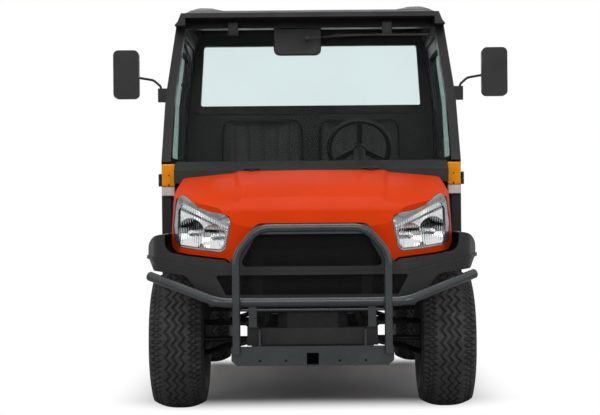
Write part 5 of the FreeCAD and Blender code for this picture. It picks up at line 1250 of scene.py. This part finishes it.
# %% Signal lamp lenses
def upright_lens(name, low, high, finish):
    """A pair of rounded lenses between two heights."""
    lens = plate(rectangle(0.668, 0.732, low, high, 0.006), behind_front(0.3085), behind_front(0.333), 0.005)
    return sharpen(make_piece(name, *paired(lens), "root", "signal_lens", finish), 40)


amber = upright_lens("signal_amber", 1.0385, 1.1480, amber_lens)
upright_lens("signal_white", 0.9925, 1.0365, white_lens)
base = plate(rectangle(0.6655, 0.7345, 0.9915, 1.1485, 0.006), behind_front(0.332), behind_front(0.3395),
             0.001)
sharpen(make_piece("signal_bases", *paired(base), "root", "black_plastic", moulded_plastic))
screw_places = [(side * 0.697, behind_front(0.3090), z) for side in SIDES for z in (1.0930, 1.0470)]
bolts("signal_screws", screw_places, (0, -1, 0), 0.0045, 0.0018, "root", "frame_paint", frame_steel)
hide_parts("signal_lamps")
print("signal lamps:", len(SIDES))

# %% [markdown]
# ## Windscreen and rear glass
# CAD keeps both panes in one node. Here a copy of each is cut out of it by keeping the faces ahead of or
# behind the seats, because the rear glass is tinted a pale green and the windscreen is not.

# %% Two panes from one node
def pane_of(name, keep_ahead, finish):
    """A copy of the cab glass without the faces on the other side of the seats."""
    sheet = bmesh.new()
    sheet.from_mesh(nodes["cab_glass"].data)
    bmesh.ops.remove_doubles(sheet, verts=sheet.verts, dist=0.00001)
    other = [face for face in sheet.faces if (face.calc_center_median().y < 0.0) != keep_ahead]
    bmesh.ops.delete(sheet, geom=other, context="FACES")
    mesh = bpy.data.meshes.new(name)
    sheet.to_mesh(mesh)
    sheet.free()
    mesh.materials.append(finish)
    pane = bpy.data.objects.new(name, mesh)
    scene.collection.objects.link(pane)
    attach(pane, "root")
    return pane


rear_tint = tinted_glass("rear_tint", (0.80, 0.93, 0.93))
windscreen = pane_of("windscreen", True, window_glass)
pane_of("rear_pane", False, rear_tint)
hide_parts("cab_glass")
print("faces of the windscreen:", len(windscreen.data.polygons))

# %% [markdown]
# ## Roof
# The roof shell dips towards its front edge. A copy of the CAD roof is cut across at even distances, and
# every point above the lip comes down by a share that fades out towards the middle of the roof.

# %% Dipping roof shell
ROOF_LIP = 1.905
DIP_DISTANCES = (0.44, 0.55, 0.70, 1.00, 1.10)
DIP_SHARES = (0.0, 0.42, 0.60, 0.96, 1.0)


def dipped_roof():
    """The roof's own mesh, cut across, with its height above the lip scaled by an interpolated share."""
    sheet = bmesh.new()
    sheet.from_mesh(nodes["roof"].data)
    for distance in np.arange(0.48, 1.12, 0.04):
        bmesh.ops.bisect_plane(sheet, geom=sheet.verts[:] + sheet.edges[:] + sheet.faces[:],
                               plane_co=(0.0, behind_front(distance), 0.0), plane_no=(0.0, 1.0, 0.0))
    mesh = bpy.data.meshes.new("roof_shell")
    sheet.to_mesh(mesh)
    sheet.free()
    points = np.empty(len(mesh.vertices) * 3)
    mesh.vertices.foreach_get("co", points)
    points = points.reshape(-1, 3)
    share = np.interp(points[:, 1] - FRONT_AXLE, DIP_DISTANCES, DIP_SHARES)
    above = np.clip(points[:, 2] - ROOF_LIP, 0.0, None)
    points[:, 2] -= above * (1.0 - share)
    mesh.vertices.foreach_set("co", points.ravel())
    mesh.materials.clear()
    mesh.materials.append(moulded_plastic)
    roof = bpy.data.objects.new("roof_shell", mesh)
    scene.collection.objects.link(roof)
    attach(roof, "root")
    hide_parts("roof")
    return roof


roof_shell = dipped_roof()
print("faces of the roof shell:", len(roof_shell.data.polygons))

# %% [markdown]
# ## Handles and clamps
# Two clamps hold the windscreen under the header. A bent grab handle stands on the passenger's door post
# and a straight one on the driver's, and each has a ball.

# %% Clamps and handles
HANDLE_Y = behind_front(0.66)
HANDLE_RADIUS = 0.008
BALL_Z = 1.664
BALL = [(-0.016, 0.0005), (-0.012, 0.011), (0.0, 0.016), (0.012, 0.011), (0.016, 0.0005)]
BENT = ((-0.648, 1.785), (-0.634, 1.740), (-0.618, 1.680), (-0.626, 1.610), (-0.662, 1.560))
STRAIGHT = ((0.626, BALL_Z), (0.630, 1.560), (0.640, 1.420))

clamps = [box_about((side * 0.388, behind_front(0.524), 1.834), (0.026, 0.012, 0.034), 0.006)
          for side in SIDES]
sharpen(make_piece("windscreen_clamps", *joined(clamps), "root", "black_plastic", moulded_plastic))
for name, line in (("grab_handle_left", BENT), ("grab_handle_right", STRAIGHT)):
    tube(name, [(x, HANDLE_Y, z) for x, z in line], HANDLE_RADIUS, "root", "frame_paint", frame_steel)
balls = [lathe_mesh(BALL, (x, HANDLE_Y, BALL_Z), (0, 0, 1), 24) for x in (-0.620, 0.626)]
make_piece("handle_balls", *joined(balls), "root", "frame_paint", frame_steel)
print("clamps and handles:", len(clamps) + 2)

# %% [markdown]
# Each door mirror shows a plated glass to the driver, set into the rear face of its housing.

# %% Mirror glasses
glass = plate(rectangle(0.846, 0.946, 1.474, 1.690, 0.016), behind_front(0.2935), behind_front(0.2965), 0.002)
sharpen(make_piece("mirror_glasses", *paired(glass), "root", "lamp_chrome", plated_bowl), 30)
print("mirror glasses:", len(SIDES))

# %% [markdown]
# A black rail with screws runs under the rear glass. The wiper's cover hangs under the header with rounded
# lower corners, and its arm and blade lie ahead of the glass.

# %% Rail and wiper
WAIST_DISTANCE = 0.330
WAIST_HEIGHT = 1.160
PILLAR_LEAN = 0.203
PILLAR_RISE = 0.685
SPINDLE_X = -0.014
SPINDLE_Z = 1.783
BLADE_Z = 1.797
SPINDLE = [(0.0, 0.0005), (0.0, 0.0068), (0.046, 0.0068), (0.046, 0.011), (0.060, 0.011), (0.062, 0.0005)]


def pillar_y(x, z):
    """Where the windscreen's outer face lies at a height, for every x: it leans back from the waist."""
    return behind_front(WAIST_DISTANCE) + PILLAR_LEAN * (z - WAIST_HEIGHT) / PILLAR_RISE


def before_glass(x, z, glass_z, distance):
    """A point at x and z that lies a distance ahead of where the glass is at the height glass_z."""
    return (x, pillar_y(x, glass_z) - distance, z)


rail = plate(rectangle(-0.640, 0.640, 1.450, 1.4935, 0.006), behind_front(1.258), behind_front(1.2697), 0.002)
sharpen(make_piece("rear_glass_rail", *rail, "root", "frame_paint", frame_steel))
rail_screws = [(side * x, behind_front(1.258), 1.470) for side in SIDES for x in (0.157, 0.381, 0.606)]
bolts("rail_screws", rail_screws, (0, -1, 0), 0.0050, 0.004, "root", "cast_metal", cast_metal)
cover = plate(rectangle(-0.184, 0.056, 1.6975, 1.8360, 0.036, 0.004), lambda x, z: pillar_y(x, z) + 0.0115,
              lambda x, z: pillar_y(x, z) + 0.056, 0.006)
spindle_place = before_glass(SPINDLE_X, SPINDLE_Z, SPINDLE_Z, -0.036)
spindle = lathe_mesh(SPINDLE, spindle_place, (0, -1, 0), 20)
arm_path = [before_glass(SPINDLE_X, SPINDLE_Z, SPINDLE_Z, 0.018), before_glass(0.120, 1.789, 1.787, 0.017),
            before_glass(0.346, BLADE_Z, BLADE_Z, 0.012)]
arm = swept(smooth_path(arm_path, 6), flat_section(0.008, 0.004))
blade_path = [before_glass(x, BLADE_Z, BLADE_Z, 0.0075) for x in (0.118, 0.236, 0.354, 0.472, 0.594)]
blade = swept(blade_path, flat_section(0.0085, 0.010))
wiper_mesh = joined([cover, spindle, arm, blade])
wiper_piece = sharpen(make_piece("wiper_assembly", *wiper_mesh, "root", "black_plastic", moulded_plastic), 35)
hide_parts("wiper")
print("wiper faces:", len(wiper_piece.data.polygons))

# %% [markdown]
# ## Guard and hitch fittings
# Dark plugs sit deep in the plate's four holes, and a stop plate closes the rear end of the square receiver,
# so both look dark from ahead: they are dark sheets that paint the shade inside the holes.

# %% Plugs and the receiver's end
# Painted shade: a dark plate at the receiver's rear end.
stop = plate(rectangle(-0.0305, 0.0305, 0.2555, 0.3165, 0.003), behind_front(-0.4365), behind_front(-0.4320),
             0.0005)
sharpen(make_piece("receiver_shade_stop", *stop, "root", "frame_paint", frame_steel))
hole_places = [(side * x, behind_front(-0.6280), 0.278) for side in SIDES for x in (0.1147, 0.2255)]
# Painted shade: dark plugs in the plate's holes.
bolts("hole_shade_plugs", hole_places, (0, -1, 0), 0.0053, 0.002, "root", "black_plastic", wire_and_shade_black)
print("plugs in the plate's holes:", len(hole_places))

# %% [markdown]
# ## Cargo bed and doors
# The bed's floor has raised runners, its sides have upright stiffeners, and a hook on each side holds the
# gate shut. Each door has a flat pull handle outside and a latch case inside.

# %% Runners, stiffeners, hooks and handles
runners = [box_about((x, behind_front(1.945), 0.852), (0.024, 0.545, 0.0035), 0.003)
           for x in np.linspace(-0.60, 0.60, 11)]
sharpen(make_piece("bed_runners", *joined(runners), "bed", "bed_paint", orange_paint), 30)
stiffeners = [box_about((side * 0.7565, y, 0.957), (0.0060, 0.022, 0.109), 0.004)
              for side in SIDES for y in (0.50, 0.78, 1.06, 1.34)]
sharpen(make_piece("bed_stiffeners", *joined(stiffeners), "bed", "bed_paint", orange_paint), 30)
hooks = [box_about((side * 0.757, 1.533, 1.023), (0.0060, 0.033, 0.013), 0.004) for side in SIDES]
hooks += [box_about((side * 0.765, 1.514, 1.023), (0.0100, 0.010, 0.023), 0.004) for side in SIDES]
sharpen(make_piece("gate_hooks", *joined(hooks), "bed", "frame_paint", frame_steel), 30)
for door, side in (("door_left", 1), ("door_right", -1)):
    pull = box_about((side * 0.742, 0.173, 1.034), (0.0075, 0.055, 0.014), 0.005)
    seat = box_about((side * 0.7385, 0.173, 1.0335), (0.0035, 0.073, 0.0285), 0.003)
    latch = box_about((side * 0.686, 0.183, 1.028), (0.0115, 0.063, 0.038), 0.006)
    lever = box_about((side * 0.668, 0.175, 1.028), (0.0080, 0.045, 0.008), 0.005)
    handle = joined([pull, seat, latch, lever])
    sharpen(make_piece(door + "_handle", *handle, door, "black_plastic", moulded_plastic), 30)
print("runners, stiffeners and hooks:", len(runners), len(stiffeners), len(hooks))

# %% Finish
lowest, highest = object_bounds()
